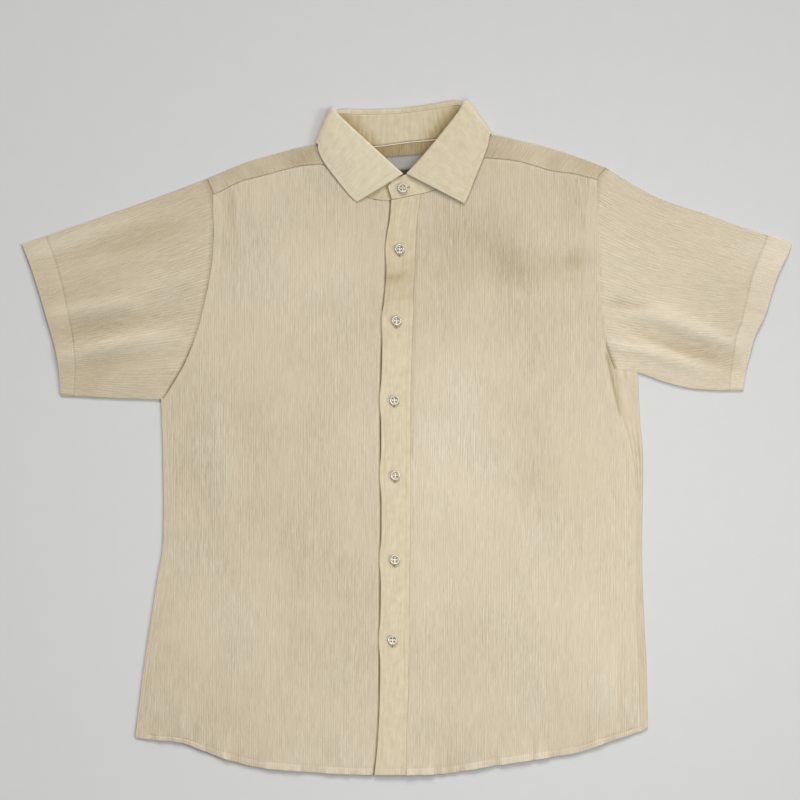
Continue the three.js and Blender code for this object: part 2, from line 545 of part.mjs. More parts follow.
// The stand runs from the neck seam up to the fall. Past the fall's ends it carries the collar button.
function collarStand() {
  const ended = (rows) => rows.map((row) => ({
    top: new THREE.Vector3(row.topX, row.topY, row.topZ),
    neck: new THREE.Vector3(row.neckX, row.neckY, row.neckZ),
  }));
  const rows = [
    ...ended(STAND_END_RIGHT),
    ...places.map(({ roll, down, out, neck }) => ({
      top: roll.clone().addScaledVector(down, STAND_SEAM + GAP).addScaledVector(out, -2 * ROLL_RADIUS), neck })),
    ...ended(STAND_END_LEFT),
  ];
  return wall(rows.map(({ top, neck }, k) => {
    const [before, after] = [rows[Math.max(0, k - 1)], rows[Math.min(rows.length - 1, k + 1)]];
    const along = after.top.clone().sub(before.top).normalize().add(after.neck.clone().sub(before.neck).normalize());
    const half = along.cross(neck.clone().sub(top)).normalize().multiplyScalar(STAND / 2);
    return steps(3).map((v) => {
      const middle = top.clone().lerp(neck, v);
      return [middle.clone().add(half), middle.clone().sub(half)];
    });
  }));
}

function neckLabel() {
  return wall(steps(2, LABEL.left, LABEL.right).map((x) => steps(4, LABEL.low, LABEL.high).map((y) => {
    const place = new THREE.Vector2(x, y);
    return lying(place, lift(place) + CLOTH + GAP + LABEL.thick, LABEL.thick);
  })));
}

// A four-hole button with a raised rim, its back on the XY plane.
function solidOf(geometry) {
  const position = (geometry.index ? geometry.toNonIndexed() : geometry).getAttribute("position");
  const welded = mergeVertices(new THREE.BufferGeometry().setAttribute("position", position), 1e-4);
  return new wasm.Manifold(new wasm.Mesh({ numProp: 3, vertProperties: welded.getAttribute("position").array,
    triVerts: new Uint32Array(welded.index.array) }));
}
function buttonShape() {
  const profile = [[0, 0], [0.86, 0], [1, 0.35], [1, 0.75], [0.88, 1], [0.62, 0.66], [0, 0.6]]
    .map(([r, z]) => new THREE.Vector2(r * BUTTON_RADIUS, z * BUTTON_THICK));
  const disc = solidOf(new THREE.LatheGeometry(profile, BUTTON_SIDES).rotateX(Math.PI / 2));
  const holes = [[1, 1], [-1, 1], [-1, -1], [1, -1]].map(([right, up]) => solidOf(
    new THREE.CylinderGeometry(BUTTON_HOLE, BUTTON_HOLE, 4 * BUTTON_THICK, 6).rotateX(Math.PI / 2)
      .translate(right * BUTTON_HOLE_OFFSET, up * BUTTON_HOLE_OFFSET, 0)));
  const { vertProperties, triVerts } = disc.subtract(wasm.Manifold.union(holes)).getMesh();
  const points = steps(vertProperties.length / 3 - 1, 0, vertProperties.length / 3 - 1)
    .map((k) => new THREE.Vector3().fromArray(vertProperties, 3 * Math.round(k)));
  return facingOut(points, [...triVerts]);
}

const shirting = new THREE.MeshStandardMaterial({ color: "#d5c9ab", roughness: 0.9, metalness: 0 });
const doubled = new THREE.MeshStandardMaterial({ color: "#dccfae", roughness: 0.85, metalness: 0 });
const tape = new THREE.MeshStandardMaterial({ color: "#8b8f8c", roughness: 0.7, metalness: 0 });
const shell = new THREE.MeshStandardMaterial({ color: "#e3dcc4", roughness: 0.3, metalness: 0 });

const shirt = new THREE.Group();
function add(name, geometry, material) {
  const mesh = new THREE.Mesh(geometry, material);
  mesh.name = name;
  shirt.add(mesh);
  return mesh;
}
add("back", back(), shirting);
add("yoke", yoke(), shirting);
add("front_right", frontRight(), shirting);
add("front_left", frontLeft(), shirting);
add("placket", placket(), doubled);
add("sleeve_right", sleeveRight(), shirting);
add("sleeve_left", sleeveLeft(), shirting);
add("collar_stand", collarStand(), doubled);
add("collar_fall", collarFall(), doubled);
add("neck_label", neckLabel(), tape);

const button = buttonShape();
const standTop = STAND_END_LEFT.at(-1).topZ + STAND / 2;
add("button_collar", button, shell).position.set(...COLLAR_BUTTON, standTop + GAP);
BUTTONS.forEach(([x, y], k) => {
  add(`button_${k + 1}`, button, shell).position.set(x, y, placketTop(new THREE.Vector2(x, y)) + GAP);
});

export default shirt;
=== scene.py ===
"""A short-sleeved button-front shirt in light crinkled cotton, buttoned up and laid flat, front up.

The tables are in millimetres, in the part's own frame: +Z up from the surface, +Y from the hem to
the collar, +X to the wearer's left. Meshes are made in metres.
"""
import math

import bmesh
import bpy
import numpy as np
from mathutils import Matrix, Vector


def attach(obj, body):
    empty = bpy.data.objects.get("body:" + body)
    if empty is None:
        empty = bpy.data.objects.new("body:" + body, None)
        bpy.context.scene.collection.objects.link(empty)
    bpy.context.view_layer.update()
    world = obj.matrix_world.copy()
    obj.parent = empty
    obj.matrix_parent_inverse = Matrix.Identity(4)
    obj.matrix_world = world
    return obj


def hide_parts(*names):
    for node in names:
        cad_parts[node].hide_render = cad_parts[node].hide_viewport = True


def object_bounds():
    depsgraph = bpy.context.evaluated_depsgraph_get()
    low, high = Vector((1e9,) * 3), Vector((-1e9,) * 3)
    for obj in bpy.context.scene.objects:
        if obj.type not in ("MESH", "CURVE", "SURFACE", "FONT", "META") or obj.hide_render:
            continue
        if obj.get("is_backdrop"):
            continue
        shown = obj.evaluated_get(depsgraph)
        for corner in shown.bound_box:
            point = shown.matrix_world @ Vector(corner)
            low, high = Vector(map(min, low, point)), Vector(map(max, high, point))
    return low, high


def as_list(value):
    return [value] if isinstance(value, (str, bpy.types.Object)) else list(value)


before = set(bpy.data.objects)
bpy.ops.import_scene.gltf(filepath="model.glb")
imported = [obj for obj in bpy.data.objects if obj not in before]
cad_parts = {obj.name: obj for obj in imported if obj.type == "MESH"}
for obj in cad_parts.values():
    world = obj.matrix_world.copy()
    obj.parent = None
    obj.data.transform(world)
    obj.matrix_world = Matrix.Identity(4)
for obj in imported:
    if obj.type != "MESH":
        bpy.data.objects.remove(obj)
cad_box = [list(corner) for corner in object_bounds()]
MM = 0.001

# Walls
CLOTH = 0.7  # one layer as it shows, thinner than its solid
STAND = 1.2
FALL = 1.4
PLACKET = 1.5
HEM_CLOTH = 1.1
CLOTH_SHARP = 50  # degrees: a steeper turn shows as an edge

# How the pressed layers lie
FOLD = 1.3
FLAT_TOP = 2 * FOLD
RISE = 1.4
RISE_REACH = 40
COLLAR_LIFT = 1.9
LIFT_NEAR, LIFT_FAR = 12, 50
OVERLAP_RISE, OVERLAP_REACH = 1.8, 45
GAP = 0.3
FRONT_LAP = 0.6  # of each front over what it is sewn to
UNDER_PLACKET = 3

# Hems, stitch lines and the size of a stitch
HEM = 7.5
CUFF_HEM = 25
ARMHOLE_ALLOWANCE = 9
SIDE_ALLOWANCE = 8
EDGE_STITCH = 1.6
PLACKET_STITCH = 5
COLLAR_STITCH = 6
YOKE_STITCH = 2.2
STITCH_PITCH, STITCH_LENGTH, STITCH_WIDTH = 2.9, 2.1, 0.42

# The crinkle: fine ridges along the grain
CRINKLE_PITCH = 2.9
CRINKLE_HEIGHT = 0.14
RIB_PITCH = 2.5  # of the finest lines
COLUMN = 0.98  # how far apart the mesh's columns are across the grain
HIDDEN_COLUMN = 1.7
ROW = 7
PRESSED_CRINKLE = 0.1  # in the doubled cloth
GRAIN_START = {  # where each piece starts in the crinkle's pattern
    "front": 400, "placket": 80, "back": 700, "yoke": 1500,
    "shirt_sleeve_right": 2200, "shirt_sleeve_left": 3100,
}
# painted shade over the whole of each sleeve
SLEEVE_SHADE = {-1: 1.3, 1: 0.3}  # the right sleeve, then the left one

# How long and wide the pieces are, for the spacing of their rows and columns
BODY_LENGTH = 650
FRONT_WIDTH_RIGHT, FRONT_WIDTH_LEFT = 300, 270
PLACKET_WIDTH, PLACKET_LENGTH = 34, 670
BACK_LENGTH, BACK_RISE = 400, 190  # below and above the underarms
WRAP_RIGHT, WRAP_LEFT = 14, 20  # from the back's folds to the side seams
YOKE_WIDTH = 460
YOKE_ROWS, STRIP_ROWS = 20, 8
NECK_FROM, NECK_TO = 0.3, 0.7  # shares across the yoke
TURN = np.radians(np.linspace(-75, 75, 8))  # the rows round a fold

# Outlines: each is a short list of [x, y] that a smooth curve runs through.
SIDE_RIGHT = [[-315, -347.5], [-303.5, -258.5], [-289.5, -165.5], [-282.5, -119], [-282.5, -26.5],
              [-285, 44.5]]
SIDE_LEFT = [[280, -336], [278, -258.5], [274.5, -189], [273, -119], [274.5, -26.5], [271, 20], [268.5, 77]]
SEAM_RIGHT = [[-301, -350], [-290.5, -258.5], [-279, -165.5], [-274.5, -119], [-276.5, -26.5], [-280.5, 45]]
SEAM_LEFT = [[271.5, -341], [268.5, -258.5], [266, -189], [266, -65], [261, -17], [249, 30], [240, 80]]
HEM_LINE = [[-315, -347.5], [-301, -350], [-262.5, -354], [-239.5, -362], [-210.5, -373], [-170, -383],
            [-123.5, -387.5], [-77, -390.5], [-37.5, -391.5], [0, -391.5], [39, -390.5], [62, -387.5],
            [108.5, -380], [155, -373], [201.5, -365], [224.5, -357], [247.5, -349], [271.5, -341],
            [280, -336]]
ARMHOLE_RIGHT = [[-280.5, 45], [-257, 84], [-242, 122.5], [-231.5, 164], [-225, 200], [-222, 240],
                 [-222, 262], [-223.5, 282], [-230.5, 299.5]]
ARMHOLE_LEFT = [[240, 80], [227.5, 114], [219, 145], [213.8, 180], [213.8, 215], [215.5, 250], [218, 275],
                [220.5, 299], [230.5, 312.5]]
# a line on the left front beside the sleeve, where painted shade darkens the crease
LEFT_ARMHOLE_GAP = ((232, 96), (247.5, 26))
BACK_YOKE_SHARE, FRONT_YOKE_SHARE = 10 / 16, 14 / 16  # of the armhole, from the underarm
SHOULDER_RIGHT = [[-230.5, 299.5], [-185, 318], [-136.5, 332], [-98, 340]]
SHOULDER_LEFT = [[90, 352], [148, 340], [194.5, 326], [230.5, 312.5]]
YOKE_FRONT_RIGHT = [[-223.5, 282], [-211.5, 287.5], [-192, 297], [-169, 303], [-121, 315], [-82, 316]]
YOKE_FRONT_LEFT = [[76, 324], [95, 324], [130.5, 320], [167.5, 309.5], [195.5, 305.5], [220.5, 299]]
YOKE_BACK = [[-222, 240], [0, 244], [215.5, 250]]
NECK_BACK = [[-98, 340], [-75, 336.3], [-52, 336.6], [-28, 338.7], [-3, 342.2], [22, 344.8], [46, 346.8],
             [68, 348.5], [90, 352]]
NECK_RIGHT = [[13, 277], [-5, 274.5], [-20, 274], [-38, 275.5], [-54, 283.5], [-70, 300], [-82, 316]]
NECK_LEFT = [[17, 281.5], [37, 287.5], [53, 298], [66, 311], [76, 324]]
NECK_SIDE_RIGHT = [[-98, 340], [-91, 328], [-82, 316]]
NECK_SIDE_LEFT = [[90, 352], [84, 337.5], [76, 324]]
SLEEVE_TOP_RIGHT = [[-230.5, 299.5], [-283, 279.5], [-351.5, 255.5], [-446, 223.5]]
SLEEVE_TOP_LEFT = [[230.5, 312.5], [289.5, 278.5], [349.5, 258], [392.5, 242.5], [446, 226.5]]
SLEEVE_UNDER_RIGHT = [[-285, 44.5], [-340, 45.5], [-401, 48]]
SLEEVE_UNDER_LEFT = [[268.5, 77], [281, 72], [298, 65], [328, 57], [360, 54], [390.5, 54]]
CUFF_RIGHT = [[-401, 48], [-405, 91], [-416, 133.5], [-433, 189.5], [-446, 223.5]]
CUFF_LEFT = [[390.5, 54], [392.5, 71], [403, 114], [416, 142], [428.5, 182.5], [443.5, 215], [446, 226.5]]
PLACKET_EDGE = [[-18, 274.5], [-19, 255.5], [-22, 232], [-23.5, 187], [-26, 155], [-28.5, 90], [-29.5, 0],
                [-29, -100], [-30, -190], [-31, -300], [-34, -360], [-37.5, -391.5]]
PLACKET_SEAM = [[17, 281.5], [13, 255.5], [10.5, 218.5], [8.5, 160.5], [5, 43], [5, -73], [3.5, -189],
                [2.5, -292], [0.5, -336.5], [0, -391.5]]


def named(columns, rows):
    return [dict(zip(columns.split(), row)) for row in rows]


# The collar: where the fall turns over at its roll, and its free edge, from front to back on each
# side. The z values are heights of the middle of the wall.
COLLAR_COLUMNS = "rollX rollY rollZ edgeX edgeY edgeZ"
COLLAR_RIGHT = named(COLLAR_COLUMNS, [
    [-3.5, 305, 8.2, -57.5, 272.5, 5.1],
    [-20, 319.5, 10.4, -66, 280, 5.1],
    [-41, 338.5, 12, -79, 296, 5.7],
    [-56.5, 352.5, 12.8, -90, 310, 6.6],
    [-71, 366, 13, -98, 322, 6.9],
    [-80, 374.5, 13, -102, 332, 7],
])
COLLAR_BACK = named(COLLAR_COLUMNS, [
    [-70, 380.3, 0.75, -82, 334, 0.75],
    [-50, 379.5, 0.75, -54, 329.5, 0.75],
    [-27, 380, 0.75, -28, 329, 0.75],
    [-4, 381.2, 0.75, -3, 330.5, 0.75],
    [18, 384, 0.75, 24, 333.5, 0.75],
    [38, 387, 0.75, 50, 337, 0.75],
    [55, 389.7, 0.75, 76, 343.5, 0.75],
])
COLLAR_LEFT = named(COLLAR_COLUMNS, [
    [-0.5, 305, 10.2, 67, 270.5, 6],
    [11, 317, 11.2, 72.5, 281.5, 6.1],
    [23, 330.5, 12, 77, 294, 6.4],
    [36, 346, 12.7, 83, 309, 6.8],
    [48, 361, 13, 88.5, 322, 7],
    [60, 376.5, 13, 94, 337, 7],
])
SIDE_FOLD_RIGHT = {"roll": (-87.5, 381.5), "edge": (-105.6, 340.4), "neck": (-97.2, 339.6)}
SIDE_FOLD_LEFT = {"roll": (70.5, 390.8), "edge": (99, 351.6), "neck": (88.9, 353.2)}
SIDE_ANGLES = np.radians([90, 54, 18, -18, -54, -90])
END_COLUMNS = "topX topY topZ neckX neckY neckZ"
STAND_END_RIGHT = named(END_COLUMNS, [
    [10, 289, 3.6, 12, 277.2, 3.4],
    [3, 299, 3.7, -5, 274.8, 3.5],
])
STAND_END_LEFT = named(END_COLUMNS, [
    [-9, 301.5, 5.7, 6, 279.7, 5.3],
    [-17.5, 297, 5.7, -6, 277.3, 5.4],
    [-21.5, 290, 5.8, -17, 275.2, 5.5],
])
ROLL_RADIUS = 2.1
STAND_SEAM = 5
LEAF_BOW = 0.9

COLLAR_BUTTON = (-4.5, 288.5)
BUTTONS = [(-8, 218), (-11.5, 135), (-14, 43), (-13, -44), (-13.5, -141.5), (-16, -234.5)]
BUTTON_RADIUS = 5.7
BUTTON_THICK = 2.4
BUTTON_DISH = 0.66  # the height of its middle, as a share of its thickness
BUTTON_SHARP = 35  # degrees
BUTTON_PROFILE = [  # as shares of its radius and thickness
    (0, 0), (0.84, 0), (0.95, 0.08), (1, 0.28), (1, 0.72), (0.97, 0.9), (0.9, 1), (0.8, 1),
    (0.73, 0.92), (0.69, 0.76), (0.62, 0.68), (0.45, BUTTON_DISH), (0, BUTTON_DISH),
]
# painted shade in the groove inside the rim and round its outer wall, a painted highlight on top of the rim,
# a little paler in the middle
BUTTON_SHADE_AND_HIGHLIGHT = [(0.45, 0.3), (0.64, -0.7), (0.7, -0.7), (0.78, 0.5), (0.92, 0.5), (0.96, -1.6)]
HOLE, HOLE_OFFSET = 0.95, 1.55
BUTTON_PULL, BUTTON_PULL_REACH = 2.2, 16
BUTTONHOLE = 13

LABEL = {"left": -24, "right": 21, "low": 302, "high": 327, "thick": 0.6}
LABEL_TILT = 5

# Folds: from, to, half width and height. A negative height is a trough. The first ones are also in
# the solids, and the others are the small creases.
FOLDS = named("x0 y0 x1 y1 half height", [
    [-373, 128, -251, 138, 13, -1.2],
    [-373, 96, -262, 108, 13, 1.4],
    [-350, 222, -238, 240, 15, -1.0],
    [281, 152, 330, 128, 13, 1.6],
    [264, 130, 393, 84, 12, -1.9],
    [249, 104, 371, 67, 12, 2.4],
    [178, 198, 212, 204, 13, -1.2],
    [150, 216, 208, 226, 14, 1.0],
    [-209, 286, -207, 250, 12, -1.0],
    [-256, -300, -260, -349, 13, 1.0],
    [238, -250, 228, -327, 13, 1.3],
    [-232, 60, -210, -60, 20, 0.9],
])
CREASES = named("x0 y0 x1 y1 half height", [
    [-402, 70, -272, 98, 9, -1.3],
    [-408, 90, -274, 121, 9, 3.0],
    [-412, 118, -318, 136, 9, -1.3],
    [-416, 140, -312, 158, 9, 2.5],
    [-440, 212, -296, 262, 9, 1.8],
    [-436, 192, -262, 244, 10, -1.4],
    [-300, 172, -240, 190, 8, 0.7],
    [-345, 168, -262, 176, 7, 0.6],
    [-300, 60, -262, 84, 5, 0.7],
    [232, 153, 274, 150, 6, -1.8],
    [252, 142, 300, 140, 8, 1.0],
    [290, 140, 386, 106, 10, 2.4],
    [266, 121, 394, 76, 8, -2.4],
    [238, 108, 332, 80, 8, 1.7],
    [244, 97, 292, 86, 5, -1.9],
    [300, 68, 384, 59, 7, 1.3],
    [238, 118, 262, 108, 4, -0.8],
    [229, 114, 236, 82, 3.5, -1.4],
    [234, 88, 247, 28, 4, -2.4],
    [243, 84, 257, 36, 4, 1.5],
    [224, 100, 239, 36, 5, 1.1],
    [252, 62, 266, 20, 5, -1.2],
    [-276, 92, -262, 60, 5, 0.8],
    [396, 150, 424, 140, 4, -0.7],
    [392, 158, 420, 149, 4, 0.5],
    [184, 208, 214, 198, 4, -1.3],
    [176, 196, 212, 188, 6, 0.8],
    [200, 262, 214, 252, 5, 0.6],
    [-206, 284, -204, 238, 4, -1.8],
    [-197, 285, -196, 246, 4, 0.7],
    [-186, 288, -186, 236, 4, -0.5],
    [-172, 292, -173, 262, 4, 0.4],
    [-100, 306, -104, 282, 5, -0.5],
    [-262, -322, -256, -352, 5, 0.6],
    [-251, -318, -244, -352, 5, -0.7],
    [-120, -366, -118, -384, 4, 0.7],
    [-160, -364, -162, -380, 4, -0.6],
    [-205, -345, -208, -366, 5, 0.5],
    [253, -240, 246, -325, 5, -1.0],
    [120, -60, 150, -200, 24, 0.6],
    [-130, 120, -150, -40, 24, 0.6],
    [70, 240, 130, 190, 17, -1.1],
    [60, 190, 100, 120, 20, 0.6],
    [80, 188, 205, 196, 20, -1.5],
    [60, 150, 190, 160, 20, 0.8],
    [-200, 60, -215, -120, 30, 0.9],
    [-60, 210, -150, 160, 26, 0.8],
    [200, -150, 215, -300, 30, 0.8],
    [-100, -180, -60, -320, 26, 0.5],
    [-232, -20, -224, -150, 9, -0.5],
    [230, 40, 238, -60, 7, -0.6],
])


# Plane curves: functions from 0..1 to points. Both kinds run smoothly through a table.
START, END = np.array(0.0), np.array(1.0)


def placed(points):
    """Each point of the table sits at an equal share."""
    points = np.array(points, float)
    last = len(points) - 1

    def line(share):
        place = np.clip(share, 0, 1) * last
        k = np.minimum(np.floor(place).astype(int), last - 1)
        t = (place - k)[..., None]
        before, start, end, after = (points[np.clip(k + step, 0, last)] for step in (-1, 0, 1, 2))
        leave, arrive = (end - before) / 2, (after - start) / 2
        return ((2 * start - 2 * end + leave + arrive) * t**3
                + (3 * end - 3 * start - 2 * leave - arrive) * t**2 + leave * t + start)

    return line


def run_along(points):
    """How far along a run of points each one is."""
    return np.concatenate([[0], np.cumsum(np.linalg.norm(np.diff(points, axis=0), axis=1))])


def even(points):
    """Spaced by length."""
    line = placed(points)
    shares = np.linspace(0, 1, 600)
    length = run_along(line(shares))
    return lambda share: line(np.interp(share, length / length[-1], shares))


def part(line, start, end):
    return lambda share: line(start + (end - start) * np.asarray(share, float))


def backwards(line):
    return lambda share: line(1 - np.asarray(share, float))


def moved(line, dx, dy):
    return lambda share: line(share) + np.array([dx, dy])


def straight(start, end):
    start, end = np.array(start, float), np.array(end, float)
    return lambda share: start + (end - start) * np.asarray(share, float)[..., None]


def joined(first, second, split):
    def line(share):
        share = np.asarray(share, float)
        before = first(np.clip(share / split, 0, 1))
        after = second(np.clip((share - split) / (1 - split), 0, 1))
        return np.where((share < split)[..., None], before, after)

    return line


def where(line, axis, value):
    """The share at which a line reaches a value of x or y. It rises or falls steadily along that axis."""
    shares = np.linspace(0, 1, 1500)
    reached = line(shares)[:, axis]
    order = slice(None) if reached[-1] > reached[0] else slice(None, None, -1)
    return np.interp(value, reached[order], shares[order])


def patch(bottom, top, left, right):
    """A plan surface between four edges. The left and right edges are fitted to the corners."""
    corners = {(u, v): (bottom, top)[v](END if u else START) for u in (0, 1) for v in (0, 1)}

    def fitted(line, u, v):
        start, end = corners[u, 0] - line(START), corners[u, 1] - line(END)
        return line(v) + start * (1 - v[..., None]) + end * v[..., None]

    def plan(u, v):
        u, v = np.broadcast_arrays(np.asarray(u, float), np.asarray(v, float))
        across, along = u[..., None], v[..., None]
        bilinear = ((corners[0, 0] * (1 - across) + corners[1, 0] * across) * (1 - along)
                    + (corners[0, 1] * (1 - across) + corners[1, 1] * across) * along)
        return (bottom(u) * (1 - along) + top(u) * along
                + fitted(left, 0, v) * (1 - across) + fitted(right, 1, v) * across - bilinear)

    return plan


side_right, side_left = even(SIDE_RIGHT), even(SIDE_LEFT)
seam_right, seam_left = even(SEAM_RIGHT), even(SEAM_LEFT)
hem_line = even(HEM_LINE)
armhole_right, armhole_left = placed(ARMHOLE_RIGHT), placed(ARMHOLE_LEFT)
shoulder_right, shoulder_left = even(SHOULDER_RIGHT), even(SHOULDER_LEFT)
yoke_front_right, yoke_front_left = even(YOKE_FRONT_RIGHT), even(YOKE_FRONT_LEFT)
yoke_back = even(YOKE_BACK)
neck_back = placed(NECK_BACK)
placket_edge, placket_seam = even(PLACKET_EDGE), even(PLACKET_SEAM)


def smooth(start, end, value):
    t = np.clip((value - start) / (end - start), 0, 1)
    return t * t * (3 - 2 * t)


def bell(distance, width):
    return np.exp(-((distance / width) ** 2))


def nearest(plan, start, end):
    """How far along a straight line each place is, from 0 to 1, and how far from it."""
    start, run = np.array(start, float), np.array(end, float) - np.array(start, float)
    along = np.clip((plan - start) @ run / (run @ run), 0, 1)
    return along, np.linalg.norm(plan - start - along[..., None] * run, axis=-1)


def min_away(plan, *lines):
    """Distance from the nearest of some straight lines."""
    return np.min([nearest(plan, start, end)[1] for start, end in lines], axis=0)


def away_from(plan, line, pieces=14):
    """Distance from a curve."""
    points = line(np.linspace(0, 1, pieces + 1))
    return np.min([nearest(plan, a, b)[1] for a, b in zip(points, points[1:])], axis=0)


FOLDED_SIDES = [side_right, side_left, shoulder_right, shoulder_left, even(SLEEVE_TOP_RIGHT),
                even(SLEEVE_TOP_LEFT), even(SLEEVE_UNDER_RIGHT), even(SLEEVE_UNDER_LEFT)]


def inset(plan):
    return np.min([away_from(plan, line, 10) for line in FOLDED_SIDES], axis=0)


def lift(plan):
    """How far the collar fall under the yoke lifts what lies on it."""
    away = nearest(plan, NECK_BACK[0], NECK_BACK[-1])[1]
    return COLLAR_LIFT * (1 - smooth(LIFT_NEAR, LIFT_FAR, away))


def folds_at(plan):
    total = np.zeros(plan.shape[:-1])
    for fold in FOLDS + CREASES:
        along, away = nearest(plan, (fold["x0"], fold["y0"]), (fold["x1"], fold["y1"]))
        swell = 0.35 + 0.65 * np.sin(math.pi * along)
        total += fold["height"] * swell * bell(away, fold["half"])
    return total


def painted_fold_shade(plan):
    """Painted light and shade on the folds: a little paler on top and darker in their troughs."""
    return 0.5 * np.clip(folds_at(plan), -3, 1.5)


def upper(plan):
    """Top of the upper layer of cloth."""
    room = smooth(FOLD, RISE_REACH, inset(plan))
    return lift(plan) + FLAT_TOP + np.maximum(0, (RISE + folds_at(plan)) * room)


def upper_left(plan):
    """The left front climbs from its own level onto the placket."""
    seam_x = placket_seam(where(placket_seam, 1, plan[..., 1]))[..., 0]
    return upper(plan) + OVERLAP_RISE * (1 - smooth(0, OVERLAP_REACH, plan[..., 0] - seam_x))


def placket_top(plan):
    return upper(plan) + GAP + PLACKET


# The crinkle
LATTICE = np.random.default_rng(7).random((4, 256, 256))


def soft_noise(x, y, plate=0):
    """Smooth values from 0 to 1 that change over one unit of x and y."""
    table = LATTICE[plate]
    i, j = np.floor(x).astype(int), np.floor(y).astype(int)
    a, b = x - i, y - j
    a, b = a * a * (3 - 2 * a), b * b * (3 - 2 * b)
    corner = lambda di, dj: table[(i + di) % 256, (j + dj) % 256]
    low = corner(0, 0) * (1 - a) + corner(1, 0) * a
    high = corner(0, 1) * (1 - a) + corner(1, 1) * a
    return low * (1 - b) + high * b


def crinkle(across, along):
    """Fine broken ridges, about -1 to 1, that run along the grain and wander a little."""
    wander = 1.3 * soft_noise(across / 16, along / 120, 0) + 0.6 * soft_noise(across / 5, along / 60, 1)
    ridges = np.sin(2 * math.pi * (across / CRINKLE_PITCH + wander))
    strength = 0.35 + 0.65 * soft_noise(across / 6, along / 45, 2)
    fine = soft_noise(across / 1.25, along / 12, 3) - 0.5
    middling = soft_noise(across / 2.4 + 90, along / 30, 1) - 0.5
    return ridges * strength * 0.75 + 1.2 * fine + 0.2 * middling


# Materials. Shader maths is written as Python expressions on sockets.
class Value:
    def __init__(self, tree, socket):
        self.tree, self.socket = tree, socket

    def maths(self, operation, *values):
        return self.tree.add("ShaderNodeMath", {"operation": operation}, dict(enumerate(values)))

    def __add__(self, other):
        return self.maths("ADD", self, other)

    def __sub__(self, other):
        return self.maths("SUBTRACT", self, other)

    def __rsub__(self, other):
        return self.maths("SUBTRACT", other, self)

    def __mul__(self, other):
        return self.maths("MULTIPLY", self, other)

    __radd__, __rmul__ = __add__, __mul__


class Tree:
    def __init__(self, tree):
        self.tree = tree

    def add(self, kind, settings=None, inputs=None, output=0):
        """One node: its settings first, then the values or links of its sockets."""
        node = self.tree.nodes.new(kind)
        for key, value in (settings or {}).items():
            setattr(node, key, value)
        for key, value in (inputs or {}).items():
            if isinstance(value, Value):
                self.tree.links.new(value.socket, node.inputs[key])
            else:
                node.inputs[key].default_value = value
        self.last = node
        return Value(self, node.outputs[output]) if node.outputs else node


def colour(red, green, blue):
    """An sRGB colour from 0 to 255 as a linear one."""
    values = [c / 255 for c in (red, green, blue)]
    return (*[c / 12.92 if c <= 0.04045 else ((c + 0.055) / 1.055) ** 2.4 for c in values], 1)


def material(name, shade):
    made = bpy.data.materials.new(name)
    made.use_nodes = True
    made.node_tree.nodes.clear()
    tree = Tree(made.node_tree)
    tree.add("ShaderNodeOutputMaterial", inputs={"Surface": shade(tree)})
    return made


def blend(tree, factor, first, second, held=True):
    """Between two colours. If it isn't held to them it goes on past the first, for the painted shade of
    cloth in a gap.
    """
    settings = {"data_type": "RGBA", "clamp_factor": held, "clamp_result": True}
    return tree.add("ShaderNodeMix", settings, {"Factor": factor, 6: first, 7: second}, output=2)


def noise(tree, vector, scale, detail=2):
    return tree.add("ShaderNodeTexNoise", None, {"Vector": vector, "Scale": scale, "Detail": detail})


def along_grain(tree, across, along):
    """The piece's own UV map, in metres, stretched to so many cells a metre."""
    grain = tree.add("ShaderNodeUVMap", {"uv_map": "grain"})
    return tree.add("ShaderNodeMapping", None, {"Vector": grain, "Scale": (across, along, 1)})


def point_tone_and_shade(tree):
    """The tone that the points of a mesh carry: the cloth's own variation, with painted shade and painted
    highlights in it.
    """
    return tree.add("ShaderNodeAttribute", {"attribute_name": "ridge"}, output=2)


def place_in(tree):
    """The place in the object, in metres."""
    return tree.add("ShaderNodeTexCoord", output=3)


def relief(tree, height, strength, distance):
    inputs = {"Height": height, "Strength": strength, "Distance": distance}
    return tree.add("ShaderNodeBump", None, inputs)


def surface(tree, base, roughness, others=None):
    inputs = {"Base Color": base, "Roughness": roughness, **(others or {})}
    return tree.add("ShaderNodeBsdfPrincipled", None, inputs)


def crinkled_cotton(tree):
    """Light cream shirting, darker in the crinkle's hollows by painted shade, with slubs that run along the
    grain.
    """
    streaks = noise(tree, along_grain(tree, 760, 50), 1, 2)
    ribs = tree.add("ShaderNodeTexWave", None, {
        "Vector": along_grain(tree, 1, 0.12), "Scale": math.pi / 10 / (RIB_PITCH * MM),
        "Distortion": 5, "Detail": 1, "Detail Scale": 70})
    clouds = noise(tree, along_grain(tree, 14, 9), 1, 3)
    slubs = noise(tree, along_grain(tree, 1150, 100), 1, 2)
    broad = noise(tree, along_grain(tree, 5, 4), 1, 2)
    weave = noise(tree, along_grain(tree, 2600, 2600), 1, 1)
    tone = point_tone_and_shade(tree) * 0.24 + ribs * 0.28 + streaks * 0.75 + slubs * 0.75 + broad * 0.9 - 0.87
    base = blend(tree, tone, colour(190, 176, 149), colour(232, 221, 200), False)
    tinted = blend(tree, clouds * 1.4 - 0.45, base, colour(217, 202, 175))
    bump = relief(tree, ribs * 0.3 + streaks * 0.6 + weave * 0.2, 0.6, 0.0006)
    return surface(tree, tinted, 0.78 + 0.1 * slubs, {"Normal": bump, "Specular IOR Level": 0.1})


